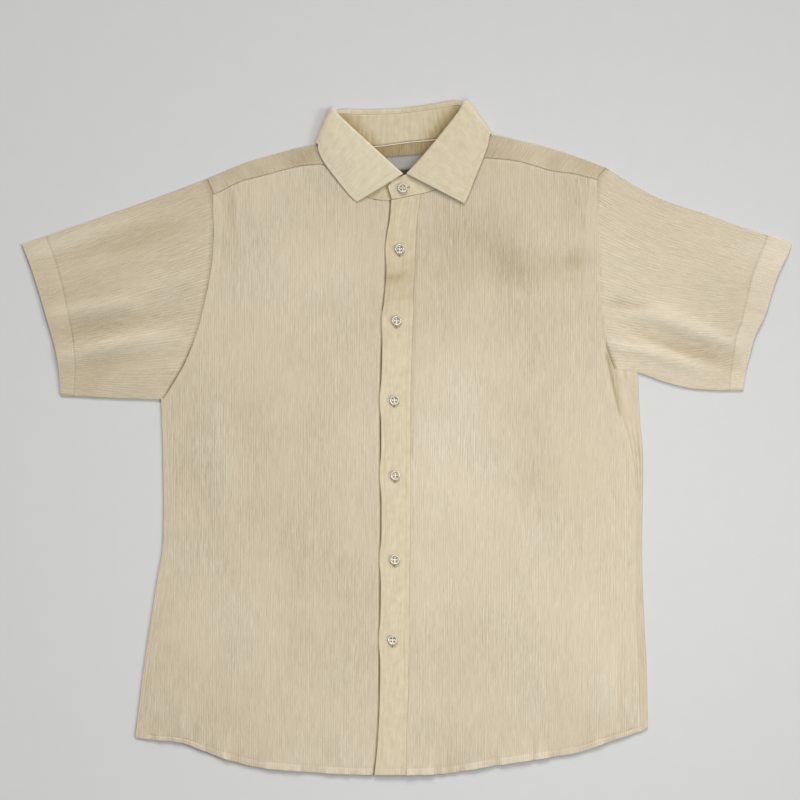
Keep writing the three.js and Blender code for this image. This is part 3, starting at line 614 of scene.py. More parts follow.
def pressed_cotton(tree):
    """The same cloth doubled and pressed smooth, in the placket and the collar."""
    streaks = noise(tree, along_grain(tree, 700, 60), 1, 2)
    mottle = noise(tree, along_grain(tree, 130, 100), 1, 4)
    weave = noise(tree, along_grain(tree, 2600, 2600), 1, 1)
    # the points' tone brings painted shade and painted highlights into this cloth too
    tone = point_tone_and_shade(tree) * 0.24 + streaks * 0.48 + mottle * 0.55 + weave * 0.3 - 0.14
    base = blend(tree, tone, colour(193, 178, 146), colour(236, 226, 202), False)
    bump = relief(tree, streaks * 0.4 + mottle * 0.4 + weave * 0.2, 0.5, 0.0008)
    return surface(tree, base, 0.74 + 0.12 * mottle, {"Normal": bump, "Specular IOR Level": 0.1})


def twisted_thread(dark, light, sheen):
    """Sewing thread between two colours."""
    def shade(tree):
        twist = noise(tree, place_in(tree), 2600, 1)
        base = blend(tree, twist, colour(*dark), colour(*light))
        return surface(tree, base, 0.6 + 0.1 * twist, {"Sheen Weight": sheen})

    return shade


def woven_tape(tree):
    """The neck label: grey tape with fine weft ribs, a darker selvedge and painted shadow over its low end.
    """
    grain = tree.add("ShaderNodeUVMap", {"uv_map": "grain"})
    ribs = tree.add("ShaderNodeTexWave", {"bands_direction": "Y"},
                    {"Vector": grain, "Scale": 420, "Distortion": 0.6})
    ground = blend(tree, ribs, colour(140, 137, 129), colour(172, 169, 160))
    base = blend(tree, point_tone_and_shade(tree), ground, colour(58, 52, 45))
    return surface(tree, base, 0.55 + 0.2 * ribs, {"Normal": relief(tree, ribs, 0.4, 0.0002)})


def pearl_button(tree):
    """Pale pearly resin with faint cloudy bands, darker round its rim by painted shade, with a painted
    highlight on the rim.
    """
    place = place_in(tree)
    clouds = noise(tree, place, 330, 3)
    bands = tree.add("ShaderNodeTexWave", {"bands_direction": "DIAGONAL"},
                     {"Vector": place, "Scale": 190, "Distortion": 7})
    tone = clouds * 0.9 + bands * 0.6 + point_tone_and_shade(tree) * 0.5 - 0.3
    base = blend(tree, tone, colour(146, 132, 102), colour(255, 251, 238))
    return surface(tree, base, 0.28 + 0.14 * clouds, {
        "Coat Weight": 0.7, "Coat Roughness": 0.15, "Specular IOR Level": 0.5})


def pale_floor(tree):
    grain = noise(tree, place_in(tree), 40, 4)
    base = blend(tree, grain, colour(206, 206, 206), colour(209, 209, 209))
    return surface(tree, base, 0.9, {"Specular IOR Level": 0.1})


def gap_shade(tree):
    # dark brown: painted shade, for the sheets in the buttonholes' slits
    grain = noise(tree, place_in(tree), 900, 1)
    base = blend(tree, grain, colour(74, 60, 40), colour(104, 88, 62))
    return surface(tree, base, 0.85 + 0.1 * grain)


SHIRTING = material("crinkled_cotton", crinkled_cotton)
DOUBLED = material("pressed_cotton", pressed_cotton)
THREAD = material("sewing_thread", twisted_thread((199, 183, 147), (226, 214, 184), 0.2))
WHITE = material("white_thread", twisted_thread((226, 216, 200), (246, 240, 228), 0))
DARK = material("gap_shade", gap_shade)
TAPE = material("woven_tape", woven_tape)
PEARL = material("pearl_button", pearl_button)
FLOOR = material("pale_floor", pale_floor)


# Meshes
def in_scene(name, data):
    """An object of some mesh, lamp or camera, linked to the scene."""
    thing = bpy.data.objects.new(name, data)
    bpy.context.collection.objects.link(thing)
    return thing


def smoothed(mesh):
    mesh.polygons.foreach_set("use_smooth", np.ones(len(mesh.polygons), bool))


def carry_tone(mesh, tone):
    """The tone of each point, which the materials read: the cloth's own variation, with painted shade and
    painted highlights in it.
    """
    values = np.asarray(tone, np.float32)
    mesh.attributes.new("ridge", "FLOAT", "POINT").data.foreach_set("value", values)


def piece(name, vertices, faces, finish, grain=None, ridge=None):
    """A mesh object at the origin, from points in millimetres."""
    mesh = bpy.data.meshes.new(name)
    mesh.from_pydata((np.asarray(vertices) * MM).tolist(), [], faces)
    mesh.update()
    smoothed(mesh)
    mesh.set_sharp_from_angle(angle=math.radians(CLOTH_SHARP))
    if grain is not None:
        corner = np.empty(len(mesh.loops), int)
        mesh.loops.foreach_get("vertex_index", corner)
        places = (np.asarray(grain)[corner] * MM).ravel().astype(np.float32)
        mesh.uv_layers.new(name="grain").uv.foreach_set("vector", places)
    if ridge is not None:
        carry_tone(mesh, ridge)
    mesh.materials.append(finish)
    return in_scene(name, mesh)


def wall(name, outer, inner, finish, grain, ridge=None, keep=None, ring=False, inner_ridge=None):
    """A closed wall of cloth from two grids of points. keep says which cells are cloth."""
    columns, rows = outer.shape[:2]
    spans = columns if ring else columns - 1
    keep = np.ones((spans, rows - 1), bool) if keep is None else keep
    count = columns * rows
    index = lambda i, j: (i % columns) * rows + j
    i, j = np.nonzero(keep)
    front = np.stack([index(i, j), index(i + 1, j), index(i + 1, j + 1), index(i, j + 1)], axis=1)
    faces = [front, front[:, ::-1] + count]

    across = np.pad(keep, ((0, 0), (1, 1)))  # is there cloth below and above each line between rows
    for i, j in zip(*np.nonzero(across[:, 1:] != across[:, :-1])):
        a, b = (index(i + 1, j), index(i, j)) if across[i, j + 1] else (index(i, j), index(i + 1, j))
        faces.append(np.array([[a, b, b + count, a + count]]))
    if not ring or not keep.all():
        beside = np.pad(keep, ((1, 1), (0, 0))) if not ring else np.concatenate([keep[-1:], keep], axis=0)
        for i, j in zip(*np.nonzero(beside[1:] != beside[:-1])):
            a, b = (index(i, j), index(i, j + 1)) if beside[i + 1, j] else (index(i, j + 1), index(i, j))
            faces.append(np.array([[a, b, b + count, a + count]]))
    faces = np.concatenate(faces)

    vertices = np.concatenate([outer.reshape(-1, 3), inner.reshape(-1, 3)])
    a, b, c, d = (vertices[faces[:, k]] for k in range(4))
    volume = np.sum(a * np.cross(b, c)) + np.sum(a * np.cross(c, d))
    if volume < 0:
        faces = faces[:, ::-1]
    used, faces = np.unique(faces, return_inverse=True)
    faces = faces.reshape(-1, 4)
    ridge = np.zeros((columns, rows)) if ridge is None else ridge
    inner_ridge = ridge if inner_ridge is None else inner_ridge
    grains = np.concatenate([grain.reshape(-1, 2)] * 2)[used]
    # the tones of the points that are kept, painted shade among them
    ridges = np.concatenate([ridge.ravel(), inner_ridge.ravel()])[used]
    return piece(name, vertices[used], faces.tolist(), finish, grains, ridges)


def stacked(plan, height):
    return np.concatenate([plan, height[..., None]], axis=-1)


def layer(plan, top, thick, edge=1.0):
    """Outer and inner points of cloth that lies with its top at a height. edge is 0 at a turned edge."""
    middle, half = top - thick / 2, thick / 2 * edge
    return stacked(plan, middle + half), stacked(plan, middle - half)


def turned(distance, thick):
    """1 inside the cloth, falling round to 0 at its turned edge."""
    inwards = np.clip(distance / (thick * 0.6), 0, 1)
    return np.sqrt(1 - (1 - inwards) ** 2)


def groove(distance, depth=0.22, width=0.9):
    """The hollow that a row of stitches pulls into the cloth."""
    return -depth * bell(distance, width)


def step_edge(distance, width, height):
    """A turned-under allowance: raised from its edge at width in to the seam."""
    return height * (1 - smooth(width - 1.4, width + 1.4, distance))


def with_crinkle(outer, inner, height):
    """Moves both faces of the cloth along its thickness."""
    through = outer - inner
    through /= np.maximum(np.linalg.norm(through, axis=-1, keepdims=True), 1e-9)
    faces = outer + through * height[..., None], inner + through * height[..., None]
    for face in faces:
        face[..., 2] = np.maximum(face[..., 2], 0)
    return faces


def dense(start, end, spacing, length):
    return np.linspace(start, end, max(2, round(abs(end - start) * length / spacing) + 1))


def hem_rows(length, hem=HEM):
    """Rows from a turned edge: close together round the edge and at the stitches, then evenly spaced."""
    near = [0, 0.12, 0.35, 0.8, 2, 3.5, 5, hem - 1.6, hem - 0.8, hem, hem + 0.8, hem + 1.6, hem + 3.5]
    return np.concatenate([np.array(near) / length, dense((hem + 7) / length, 1, ROW, length)])


# Seams: stitch lines are runs of points, kept here and sewn at the end.
stitch_lines = []


def sewn(plan_line, height, start=0.0, end=1.0, rise=0.16):
    """Keeps a stitch line: plan_line gives its places and height the surface there."""
    plan = plan_line(np.linspace(start, end, 240))
    stitch_lines.append(stacked(plan, height(plan) + rise))


def offset_line(line, distance):
    """A line beside another one, on its left for a positive distance."""
    def beside(share):
        share = np.asarray(share, float)
        run = line(np.clip(share + 2e-3, 0, 1)) - line(np.clip(share - 2e-3, 0, 1))
        run /= np.linalg.norm(run, axis=-1, keepdims=True)
        return line(share) + distance * np.stack([-run[..., 1], run[..., 0]], axis=-1)

    return beside


made = {}


def mostly_across(line):
    """Spaced by x, with a few places for where the line runs up or down."""
    shares = np.linspace(0, 1, 2500)
    step = np.abs(np.diff(line(shares), axis=0))
    run = np.concatenate([[0], np.cumsum(step[:, 0] + 0.09 * step[:, 1])])
    return lambda share: line(np.interp(share, run / run[-1], shares))


# The fronts
def front_grid(plan, width):
    """Places on a front, and how far each is from the hem. Rows are close at the hem and the yoke seam."""
    u = dense(0, 1, COLUMN, width)[:, None]
    below_seam = 1 - np.arange(0, 20, 1.25)[::-1] / BODY_LENGTH
    rows = hem_rows(BODY_LENGTH)
    v = np.concatenate([rows[rows < below_seam[0] - 0.005], below_seam])[None, :]
    return plan(u, v), v * BODY_LENGTH + 0 * u


def front_relief(places, away, high_up):
    """The stitched grooves, turned allowances and puckers, as heights over the plain cloth."""
    pucker = 0.5 * (soft_noise(places[..., 1] / 5, places[..., 0] / 5, 1) - 0.5)
    return (groove(away["hem"] - HEM, 0.3) + step_edge(away["hem"], HEM, 0.25)
            + groove(away["side"] - SIDE_ALLOWANCE, 0.15) - 0.2 * (1 - smooth(0, 2, away["side"]))
            + groove(away["armhole"] - ARMHOLE_ALLOWANCE, 0.12)
            + step_edge(away["armhole"], ARMHOLE_ALLOWANCE, 0.1 + 0.25 * high_up)
            + pucker * np.exp(-np.abs(away["armhole"] - ARMHOLE_ALLOWANCE) / 4)
            + groove(away["yoke"], 0.7, 2.2))


def front_crinkle(away, is_right):
    """The share of the crinkle that is left: less where the cloth is doubled, little under the placket."""
    share = (0.6 + 0.4 * smooth(1, 10, away["hem"])) * (0.5 + 0.5 * smooth(0, 7, away["side"]))
    share = share * (0.55 + 0.45 * smooth(ARMHOLE_ALLOWANCE - 1, ARMHOLE_ALLOWANCE + 3, away["armhole"]))
    if is_right:
        share = share * (1 - 0.9 * smooth(-0.5, 3, away["placket"]))
    return share


def front_shade(places, away, high_up, is_right):
    """Paler where doubled; painted shade all over, in the gaps by the placket and armhole, and upwards on
    the left.
    """
    doubled = 0.5 * (away["hem"] < HEM) + (0.1 + 0.5 * high_up) * (away["armhole"] < ARMHOLE_ALLOWANCE)
    if is_right:
        gap = 8 * bell(away["placket"] + 0.4, 0.9) + 4 * (away["placket"] > -0.4)
        return doubled - gap - 0.7
    beside_armhole = nearest(places, *LEFT_ARMHOLE_GAP)[1]
    beside_placket = nearest(places, placket_seam(0.05), placket_seam(0.45))[1]
    gap = 2.6 * bell(beside_armhole, 1.8) + 1.2 * bell(beside_placket, 2.5)
    return doubled - gap - 0.2 - 0.8 * smooth(60, 160, places[..., 1])


def front_panel(name, plan, top, seam, armhole, yoke_seam, width):
    """One front: a turned hem, the felled side seam and the armhole's stitched allowance."""
    is_right = name == "shirt_front_right"
    places, from_hem = front_grid(plan, width)
    x, y = places[..., 0], places[..., 1]
    away = {
        "hem": from_hem,
        "side": away_from(places, seam),
        "armhole": away_from(places, armhole, 24),
        "yoke": away_from(places, yoke_seam),
        "placket": x - placket_edge(where(placket_edge, 1, y))[..., 0],
    }
    high_up = smooth(110, 210, y)
    ripple = (soft_noise(x / 7 + 30, from_hem / 22, 3) - 0.5) * 2.4 * np.exp(-from_hem / 13)
    height = top(places) + front_relief(places, away, high_up) + ripple
    if is_right:
        height += groove(away["placket"] + 0.9, 1.6, 1.1)
    thick = np.where(from_hem < HEM + 0.5, HEM_CLOTH, CLOTH)
    round_edge = turned(from_hem, HEM_CLOTH)
    outer, inner = layer(places, height, thick, round_edge)
    grain = places + GRAIN_START["front"]
    pattern = crinkle(grain[..., 0], grain[..., 1])
    flatter = front_crinkle(away, is_right)
    outer, inner = with_crinkle(outer, inner, pattern * CRINKLE_HEIGHT * flatter * round_edge)
    # the tone paints shade into the crinkle's hollows and the troughs of folds and hem ripples, and paler
    # light on their tops
    tone = pattern * flatter + painted_fold_shade(places) + ripple + front_shade(places, away, high_up, is_right)
    made[name] = wall(name, outer, inner, SHIRTING, grain, tone)


def sew_front(seam, armhole, bottom, surface, side, hem_end):
    """The stitch lines of a front's side seam, armhole and hem."""
    sewn(offset_line(seam, side * SIDE_ALLOWANCE), surface, 0.0, 1.0, 0.05)
    sewn(offset_line(armhole, side * ARMHOLE_ALLOWANCE), surface, 0.02, 1.0, 0.2)
    sewn(offset_line(bottom, HEM), surface, 0.0, hem_end, 0.05)


def make_front_right():
    """The right front runs on under the placket, nearly as far as the placket's seam."""
    inner = moved(placket_seam, -UNDER_PLACKET, 0)
    bottom = part(hem_line, where(hem_line, 0, SEAM_RIGHT[0][0]), where(hem_line, 0, inner(END)[0]))
    hole = moved(part(armhole_right, 0, FRONT_YOKE_SHARE), -FRONT_LAP, 0)
    top = mostly_across(joined(hole, joined(yoke_front_right, placed(NECK_RIGHT[::-1]), 0.6), 0.5))
    plan = patch(mostly_across(bottom), top, seam_right, backwards(inner))
    front_panel("shirt_front_right", plan, upper, seam_right, hole, yoke_front_right, FRONT_WIDTH_RIGHT)
    sew_front(seam_right, hole, bottom, upper, -1, 0.88)


def make_front_left():
    inner = moved(placket_seam, 0.05, 0)
    bottom = part(hem_line, where(hem_line, 0, inner(END)[0]), where(hem_line, 0, SEAM_LEFT[0][0]))
    hole = moved(part(armhole_left, 0, FRONT_YOKE_SHARE), FRONT_LAP, 0)
    top = mostly_across(joined(joined(placed(NECK_LEFT), yoke_front_left, 0.4), backwards(hole), 0.5))
    plan = patch(mostly_across(bottom), top, backwards(inner), seam_left)
    front_panel("shirt_front_left", plan, upper_left, seam_left, hole, yoke_front_left, FRONT_WIDTH_LEFT)
    sew_front(seam_left, hole, bottom, upper_left, 1, 1.0)


# The placket
def placket_plan(u, v):
    seam, edge = placket_seam(1 - v), placket_edge(1 - v)
    pull = sum(bell(edge[..., 1] - y, BUTTON_PULL_REACH) for _, y in BUTTONS)
    edge = edge - np.stack([BUTTON_PULL * pull, 0 * pull], axis=-1)
    return edge + (seam - edge) * np.asarray(u, float)[..., None]


def placket_crease(slant):
    """The slanting crease between the first two buttons, and the stretch that sinks below it."""
    sunken = smooth(146, 156, slant) - smooth(178, 186, slant)
    return 0.8 * bell(slant - 187, 2.4) - 0.7 * sunken + 0.3 * bell(slant - 150, 3)


def placket_shade(slant):
    """Painted shade: darker overall, more towards the collar, in the sunken stretch and along the crease."""
    between = smooth(148, 154, slant) - smooth(196, 204, slant)
    return -0.7 - 0.5 * smooth(80, 180, slant) - 0.55 * between - 1.1 * bell(slant - 185, 1.3)


def make_placket():
    """The front strip: folded at its free edge, stitched down both sides, dented by its buttons."""
    near = np.array([0, 0.15, 0.45, 1, 2, 3.2, 4.2, 5, 5.8, 7])
    across = np.concatenate([near, np.arange(8.2, PLACKET_WIDTH - 7.5, 1.3), PLACKET_WIDTH - near[::-1]])
    u, v = np.broadcast_arrays(across[:, None] / PLACKET_WIDTH, hem_rows(PLACKET_LENGTH)[None, :])
    places = placket_plan(u, v)
    from_edge, from_seam, from_hem = u * PLACKET_WIDTH, (1 - u) * PLACKET_WIDTH, v * PLACKET_LENGTH
    dents = sum(0.7 * bell(np.hypot(places[..., 0] - x, places[..., 1] - y), 8) for x, y in BUTTONS)
    buckle = 0.22 * (soft_noise(u * 2.2, v * 46, 2) - 0.5) + 0.12 * (soft_noise(u * 5, v * 120, 3) - 0.5)
    slant = places[..., 1] - 4 * u
    stitches = (groove(from_edge - PLACKET_STITCH, 0.12) + groove(from_seam - PLACKET_STITCH, 0.16)
                + groove(from_hem - HEM, 0.2))
    edge = turned(np.minimum(np.minimum(from_edge, from_seam), from_hem), PLACKET)
    height = placket_top(places) + stitches - dents + buckle + placket_crease(slant)
    outer, inner = layer(places, height, PLACKET, edge)
    pattern = crinkle(from_edge + GRAIN_START["placket"], from_hem) * 0.5
    outer, inner = with_crinkle(outer, inner, pattern * PRESSED_CRINKLE * edge)
    grain = np.stack([from_edge, from_hem], axis=-1)
    tone = pattern + placket_shade(slant)
    made["shirt_placket"] = wall("shirt_placket", outer, inner, DOUBLED, grain, tone)
    for share in (PLACKET_STITCH / PLACKET_WIDTH, 1 - PLACKET_STITCH / PLACKET_WIDTH):
        sewn(lambda v, share=share: placket_plan(share, v), placket_top, 0.003, 0.996)


# Layers that lie on the surface, turn at a fold and come back over themselves
def under_layer(plan):
    height = lift(plan)
    return stacked(plan, height), stacked(plan, height + CLOTH)


def turn(reach, angles):
    """The turn of the cloth at a fold. reach(d) is the line of places d in from the fold."""
    faces = ([], [])
    for angle in angles:
        for face, radius in zip(faces, (FOLD, FOLD - CLOTH)):
            plan = reach(FOLD - radius * math.cos(angle))
            face.append(stacked(plan, lift(plan) + FOLD + radius * math.sin(angle)))
    return tuple(np.array(face) for face in faces)


def joined_columns(*bands):
    return tuple(np.concatenate([band[k] for band in bands]) for k in (0, 1))


def unrolled(outer, row, along):
    """The grain of a piece that goes round a fold: across is measured along one of its rows."""
    across = run_along(outer[:, row])[:, None] + 0 * outer[..., 0]
    return np.stack([across, along[None, :] + 0 * across], axis=-1)


# The back
def back_plans():
    """The back below and above the underarms, its width, and the shares of it between the armholes."""
    corner_right, corner_left = armhole_right(START), armhole_left(START)
    end_right, end_left = side_right(END), side_left(END)
    width = side_left(START)[0] - side_right(START)[0]
    share_right = (corner_right[0] - end_right[0]) / width
    share_left = 1 - (end_left[0] - corner_left[0]) / width
    between = straight(corner_right, corner_left)
    past_right = joined(between, straight(corner_left, end_left),
                        (share_left - share_right) / (1 - share_right))
    underarms = joined(straight(end_right, corner_right), past_right, share_right)
    lower = patch(hem_line, underarms, side_right, side_left)
    higher = patch(between, moved(yoke_back, 0, -GAP),
                   part(armhole_right, 0, BACK_YOKE_SHARE), part(armhole_left, 0, BACK_YOKE_SHARE))
    return lower, higher, width, share_right, share_left


def lapped(start, end, shares):
    """The back's edge, from the fold over to the side seam, where it dips under the front."""
    plan = start[None] + (end - start)[None] * shares[:, None, None]
    from_end = np.linalg.norm(plan - end[None], axis=-1)
    return layer(plan, upper(plan) - 0.8 * (1 - smooth(0.4, 1.1, from_end)), CLOTH)


def make_back():
    """The back lies on the surface. Its sides turn up and over to the side seams."""
    lower, higher, width, share_right, share_left = back_plans()
    edge = FOLD / width
    v = hem_rows(BACK_LENGTH)
    middle = dense(share_right, share_left, HIDDEN_COLUMN, width)
    under_u = np.concatenate([[edge], middle, [1 - edge]])
    wrap_right, wrap_left = dense(0, 1, COLUMN, WRAP_RIGHT), dense(0, 1, COLUMN, WRAP_LEFT)
    low_faces = joined_columns(
        lapped(lower(edge, v), moved(seam_right, 0.8, 0)(v), wrap_right[::-1]),
        turn(lambda d: lower(d / width, v), TURN[::-1]),
        under_layer(lower(under_u[:, None], v[None, :])),
        turn(lambda d: lower(1 - d / width, v), TURN),
        lapped(lower(1 - edge, v), moved(seam_left, -0.8, 0)(v), wrap_left),
    )
    first = len(wrap_right) + len(TURN)
    last = first + len(under_u) - 1
    rows = dense(0, 1, ROW, BACK_RISE)[1:]
    spread = (middle - share_right) / (share_left - share_right)
    faces = []
    for low, risen in zip(low_faces, under_layer(higher(spread[:, None], rows[None, :]))):
        high = np.repeat(low[:, -1:], len(rows), axis=1)
        high[first + 1:last] = risen
        faces.append(np.concatenate([low, high], axis=1))
    outer, inner = faces
    keep = np.zeros((outer.shape[0] - 1, outer.shape[1] - 1), bool)
    keep[:, :len(v) - 1] = True
    keep[first + 1:last - 1] = True

    from_hem = np.concatenate([v * BACK_LENGTH, BACK_LENGTH + rows * BACK_RISE])
    grain = unrolled(outer, len(v) // 2, from_hem)
    pattern = crinkle(grain[..., 0] + GRAIN_START["back"], grain[..., 1])
    under = np.zeros(outer.shape[:2], bool)
    under[first:last + 1] = True
    height = (np.where(under, (pattern - 1) * 0.5, pattern) * CRINKLE_HEIGHT
              + np.where(under, groove(grain[..., 1] - HEM, 0.3), 0))
    outer, inner = with_crinkle(outer, inner, height * turned(grain[..., 1], CLOTH))
    # painted shade on the parts of the back that show, round its folds and out to the side seams, and in the
    # crinkle's hollows
    tone = pattern - 0.8 * ~under
    made["shirt_back"] = wall("shirt_back", outer, inner, SHIRTING, grain, tone, keep)


# The yoke
def yoke_plans():
    """The flat part, from its back seam to the shoulders and neck, and the strips on the fronts."""
    past_shoulder = joined(neck_back, shoulder_left, (NECK_TO - NECK_FROM) / (1 - NECK_FROM))
    rise = joined(shoulder_right, past_shoulder, NECK_FROM)
    flat = patch(yoke_back, rise, part(armhole_right, BACK_YOKE_SHARE, 1),
                 part(armhole_left, BACK_YOKE_SHARE, 1))
    strip_right = patch(shoulder_right, yoke_front_right, part(armhole_right, 1, FRONT_YOKE_SHARE),
                        placed(NECK_SIDE_RIGHT))
    strip_left = patch(shoulder_left, yoke_front_left, placed(NECK_SIDE_LEFT),
                       part(armhole_left, 1, FRONT_YOKE_SHARE))

    def strip(u, v):
        right = strip_right(np.clip(u / NECK_FROM, 0, 1), v)
        left = strip_left(np.clip((u - NECK_TO) / NECK_FROM, 0, 1), v)
        return np.where((np.asarray(u) < 0.5)[..., None], right, left)

    return flat, strip


def yoke_faces(u, in_neck, flat, strip):
    """The wall's two faces: the flat part, the turn at the shoulders and the strips."""
    one, zero = np.ones_like(u), np.zeros_like(u)
    depth = np.linalg.norm(flat(u, zero) - flat(u, one), axis=-1)
    strip_depth = np.linalg.norm(strip(u, zero) - strip(u, one), axis=-1)
    at_shoulder = (np.arange(YOKE_ROWS) == YOKE_ROWS - 1)[None, :] & ~in_neck[:, None]
    flat_v = np.where(at_shoulder, (1 - FOLD / depth)[:, None], np.linspace(0, 1, YOKE_ROWS)[None, :])
    from_fold = np.maximum(np.linspace(0, 1, STRIP_ROWS)[None, :], (FOLD / strip_depth)[:, None])
    under = under_layer(flat(u[:, None] + 0 * flat_v, flat_v))
    turned_low = turn(lambda d: flat(u, 1 - d / depth), TURN[TURN < 0])
    turned_high = turn(lambda d: strip(u, d / strip_depth), TURN[TURN > 0])
    plan = strip(u[:, None] + 0 * from_fold, from_fold)
    from_seam = (1 - from_fold) * strip_depth[:, None]
    from_armhole = np.minimum(away_from(plan, armhole_right), away_from(plan, armhole_left))
    relief = (groove(from_seam - YOKE_STITCH, 0.15) + 0.3 * (1 - smooth(3, 6, from_seam))
              + step_edge(from_armhole, ARMHOLE_ALLOWANCE, 0.4))
    top = layer(plan, upper(plan) + relief, CLOTH)
    across_fold = [[face.transpose(1, 0, 2) for face in faces] for faces in (turned_low, turned_high)]
    return [np.concatenate([under[k], across_fold[0][k], across_fold[1][k], top[k]], axis=1) for k in (0, 1)]


def make_yoke():
    """The yoke lies over the upper back, turns at both shoulders and ends in a strip on each front."""
    sides = dense(0, NECK_FROM, COLUMN, YOKE_WIDTH)
    u = np.concatenate([sides, dense(NECK_FROM, NECK_TO, COLUMN, YOKE_WIDTH)[1:-1], 1 - sides[::-1]])
    in_neck = (u > NECK_FROM + 1e-6) & (u < NECK_TO - 1e-6)
    outer, inner = yoke_faces(u, in_neck, *yoke_plans())
    keep = np.ones((outer.shape[0] - 1, outer.shape[1] - 1), bool)
    neck_cells = (u[:-1] > NECK_FROM - 1e-6) & (u[1:] < NECK_TO + 1e-6)
    keep[neck_cells, YOKE_ROWS - 1:] = False
    across = (u * YOKE_WIDTH)[:, None] + 0 * outer[..., 0]
    along = np.array([run_along(column) for column in outer])
    pattern = crinkle(across + GRAIN_START["yoke"], along)
    flat_part = (np.arange(outer.shape[1]) < YOKE_ROWS)[None, :]
    height = np.where(flat_part, pattern - 1, 0.6 * pattern) * 0.5 * CRINKLE_HEIGHT
    outer, inner = with_crinkle(outer, inner, height)
    # Painted shade: the strips on the fronts are darker, more near the neck and in soft random patches, and
    # the inner face of the flat part, seen inside the neck, much darker.
    near_neck = 1 - smooth(100, 150, np.abs(outer[..., 0]))
    patches = 1.8 * (soft_noise(outer[..., 0] / 17, outer[..., 1] / 11, 2) - 0.5)
    tone = pattern * 0.4 - np.where(flat_part, 0, 1.9 + 0.8 * near_neck + patches)
    grain = np.stack([across, along], axis=-1)
    made["shirt_yoke"] = wall("shirt_yoke", outer, inner, SHIRTING, grain, tone, keep,
                              inner_ridge=tone - np.where(flat_part, 6, 0))
    for seam in (yoke_front_right, yoke_front_left):
        sewn(offset_line(seam, YOKE_STITCH), upper, 0.01, 0.99)


# The sleeves
def sleeve_plan(side, hole, low_fold, high_fold, cuff, base_share, cuff_share):
    """A sleeve from the armhole to its opening. Its base runs from the low fold to the underarm."""
    def off_hole(share):
        step = np.stack([side * 0.05 + 0 * share, GAP * (1 - smooth(0, 0.2, share))], axis=-1)
        return hole(share) + step

    base = straight(low_fold(START) + np.array([side * 0.05, -0.9]), off_hole(START) - np.array([0, 0.9]))
    opening = joined(part(cuff, 0, cuff_share), part(cuff, cuff_share, 1), base_share)
    return patch(joined(base, off_hole, base_share), opening, low_fold, high_fold)


def sleeve_relief(plan, u, from_cuff, from_hole, base_share):
    """The stitched hem, and the dip at the armhole's seam, which is deepest near the underarm."""
    at_seam = 1 - smooth(0, 2.2, from_hole)
    relief = groove(from_cuff - CUFF_HEM, 0.15, 1.0) + step_edge(from_cuff, CUFF_HEM, 0.4)
    relief = relief - (0.6 + 1.1 * (1 - smooth(0.03, 0.4, u))) * at_seam
    relief = relief + 1.1 * at_seam * (1 - smooth(base_share, base_share + 0.04, u))
    return relief + 0.8 * (soft_noise(plan[..., 1] / 6, plan[..., 0] / 11, 0) - 0.5) * np.exp(-from_hole / 9)


def make_sleeve(name, side, hole, low_fold, high_fold, cuff, base_share, cuff_share):
    """A tube pressed flat, from the armhole to a deep turned hem."""
    plan = sleeve_plan(side, hole, low_fold, high_fold, cuff, base_share, cuff_share)
    length = np.linalg.norm(plan(0.5, 0.0) - plan(0.5, 1.0))
    v = 1 - hem_rows(length, CUFF_HEM)[::-1]
    width = np.linalg.norm(plan(0 * v, v) - plan(0 * v + 1, v), axis=-1)
    edge = FOLD / width

    def band(shares):
        u = edge[None, :] + (1 - 2 * edge)[None, :] * shares[:, None]
        return u, plan(u, v[None, :] + 0 * u)

    under_plan = band(dense(0, 1, HIDDEN_COLUMN, width.mean()))[1]
    over_u, over_plan = band(dense(1, 0, COLUMN, width.mean()))
    from_cuff, from_hole = ((1 - v) * length)[None, :], (v * length)[None, :]
    relief = sleeve_relief(over_plan, over_u, from_cuff, from_hole, base_share)
    thick = np.where(from_cuff < CUFF_HEM + 0.5, HEM_CLOTH, CLOTH)
    round_edge = turned(from_cuff, HEM_CLOTH)
    outer, inner = joined_columns(
        under_layer(under_plan),
        turn(lambda d: plan(1 - d / width, v), TURN),
        layer(over_plan, upper(over_plan) + relief, thick, round_edge),
        turn(lambda d: plan(d / width, v), TURN[::-1]),
    )
    grain = unrolled(outer, len(v) // 2, v * length)
    pattern = crinkle(grain[..., 0] + GRAIN_START[name], grain[..., 1])
    under = (np.arange(outer.shape[0]) < len(under_plan))[:, None]
    stiff = 0.6 + 0.4 * smooth(CUFF_HEM - 1, CUFF_HEM + 3, from_cuff)
    stiff = stiff * (0.2 + 0.8 * smooth(0, 3, from_hole))
    stitched = groove(from_cuff - CUFF_HEM, 0.3) / CRINKLE_HEIGHT
    height = np.where(under, (pattern - 1) * 0.5 + stitched, pattern) * 0.8 * CRINKLE_HEIGHT
    outer, inner = with_crinkle(outer, inner, height * stiff * round_edge)

    # Painted shade: a dark band along the armhole seam, darkest at the underarm, crinkle hollows and fold
    # troughs darker with fold tops paler, a dark line above the cuff's hem and a shade over the whole
    # sleeve. The doubled cuff is paler, the left one more.
    by_armhole = (2.6 + 4.5 * (1 - smooth(0.03, 0.35, over_u))) * (1 - smooth(0, 1.8, from_hole))
    depth = np.zeros(outer.shape[:2])
    depth[len(under_plan) + len(TURN):-len(TURN)] = by_armhole - 1.2 * painted_fold_shade(over_plan)
    cuff_tone = (0.7 + 0.5 * side) * (from_cuff < CUFF_HEM) - 1.5 * bell(from_cuff - CUFF_HEM - 1.2, 1)
    tone = 0.8 * pattern * stiff + cuff_tone - depth - SLEEVE_SHADE[side]
    made[name] = wall(name, outer, inner, SHIRTING, grain, tone, ring=True)
    share = 1 - CUFF_HEM / length
    sewn(lambda t: plan(t, share + 0 * t), upper, 0.01, 0.99, 0.05)


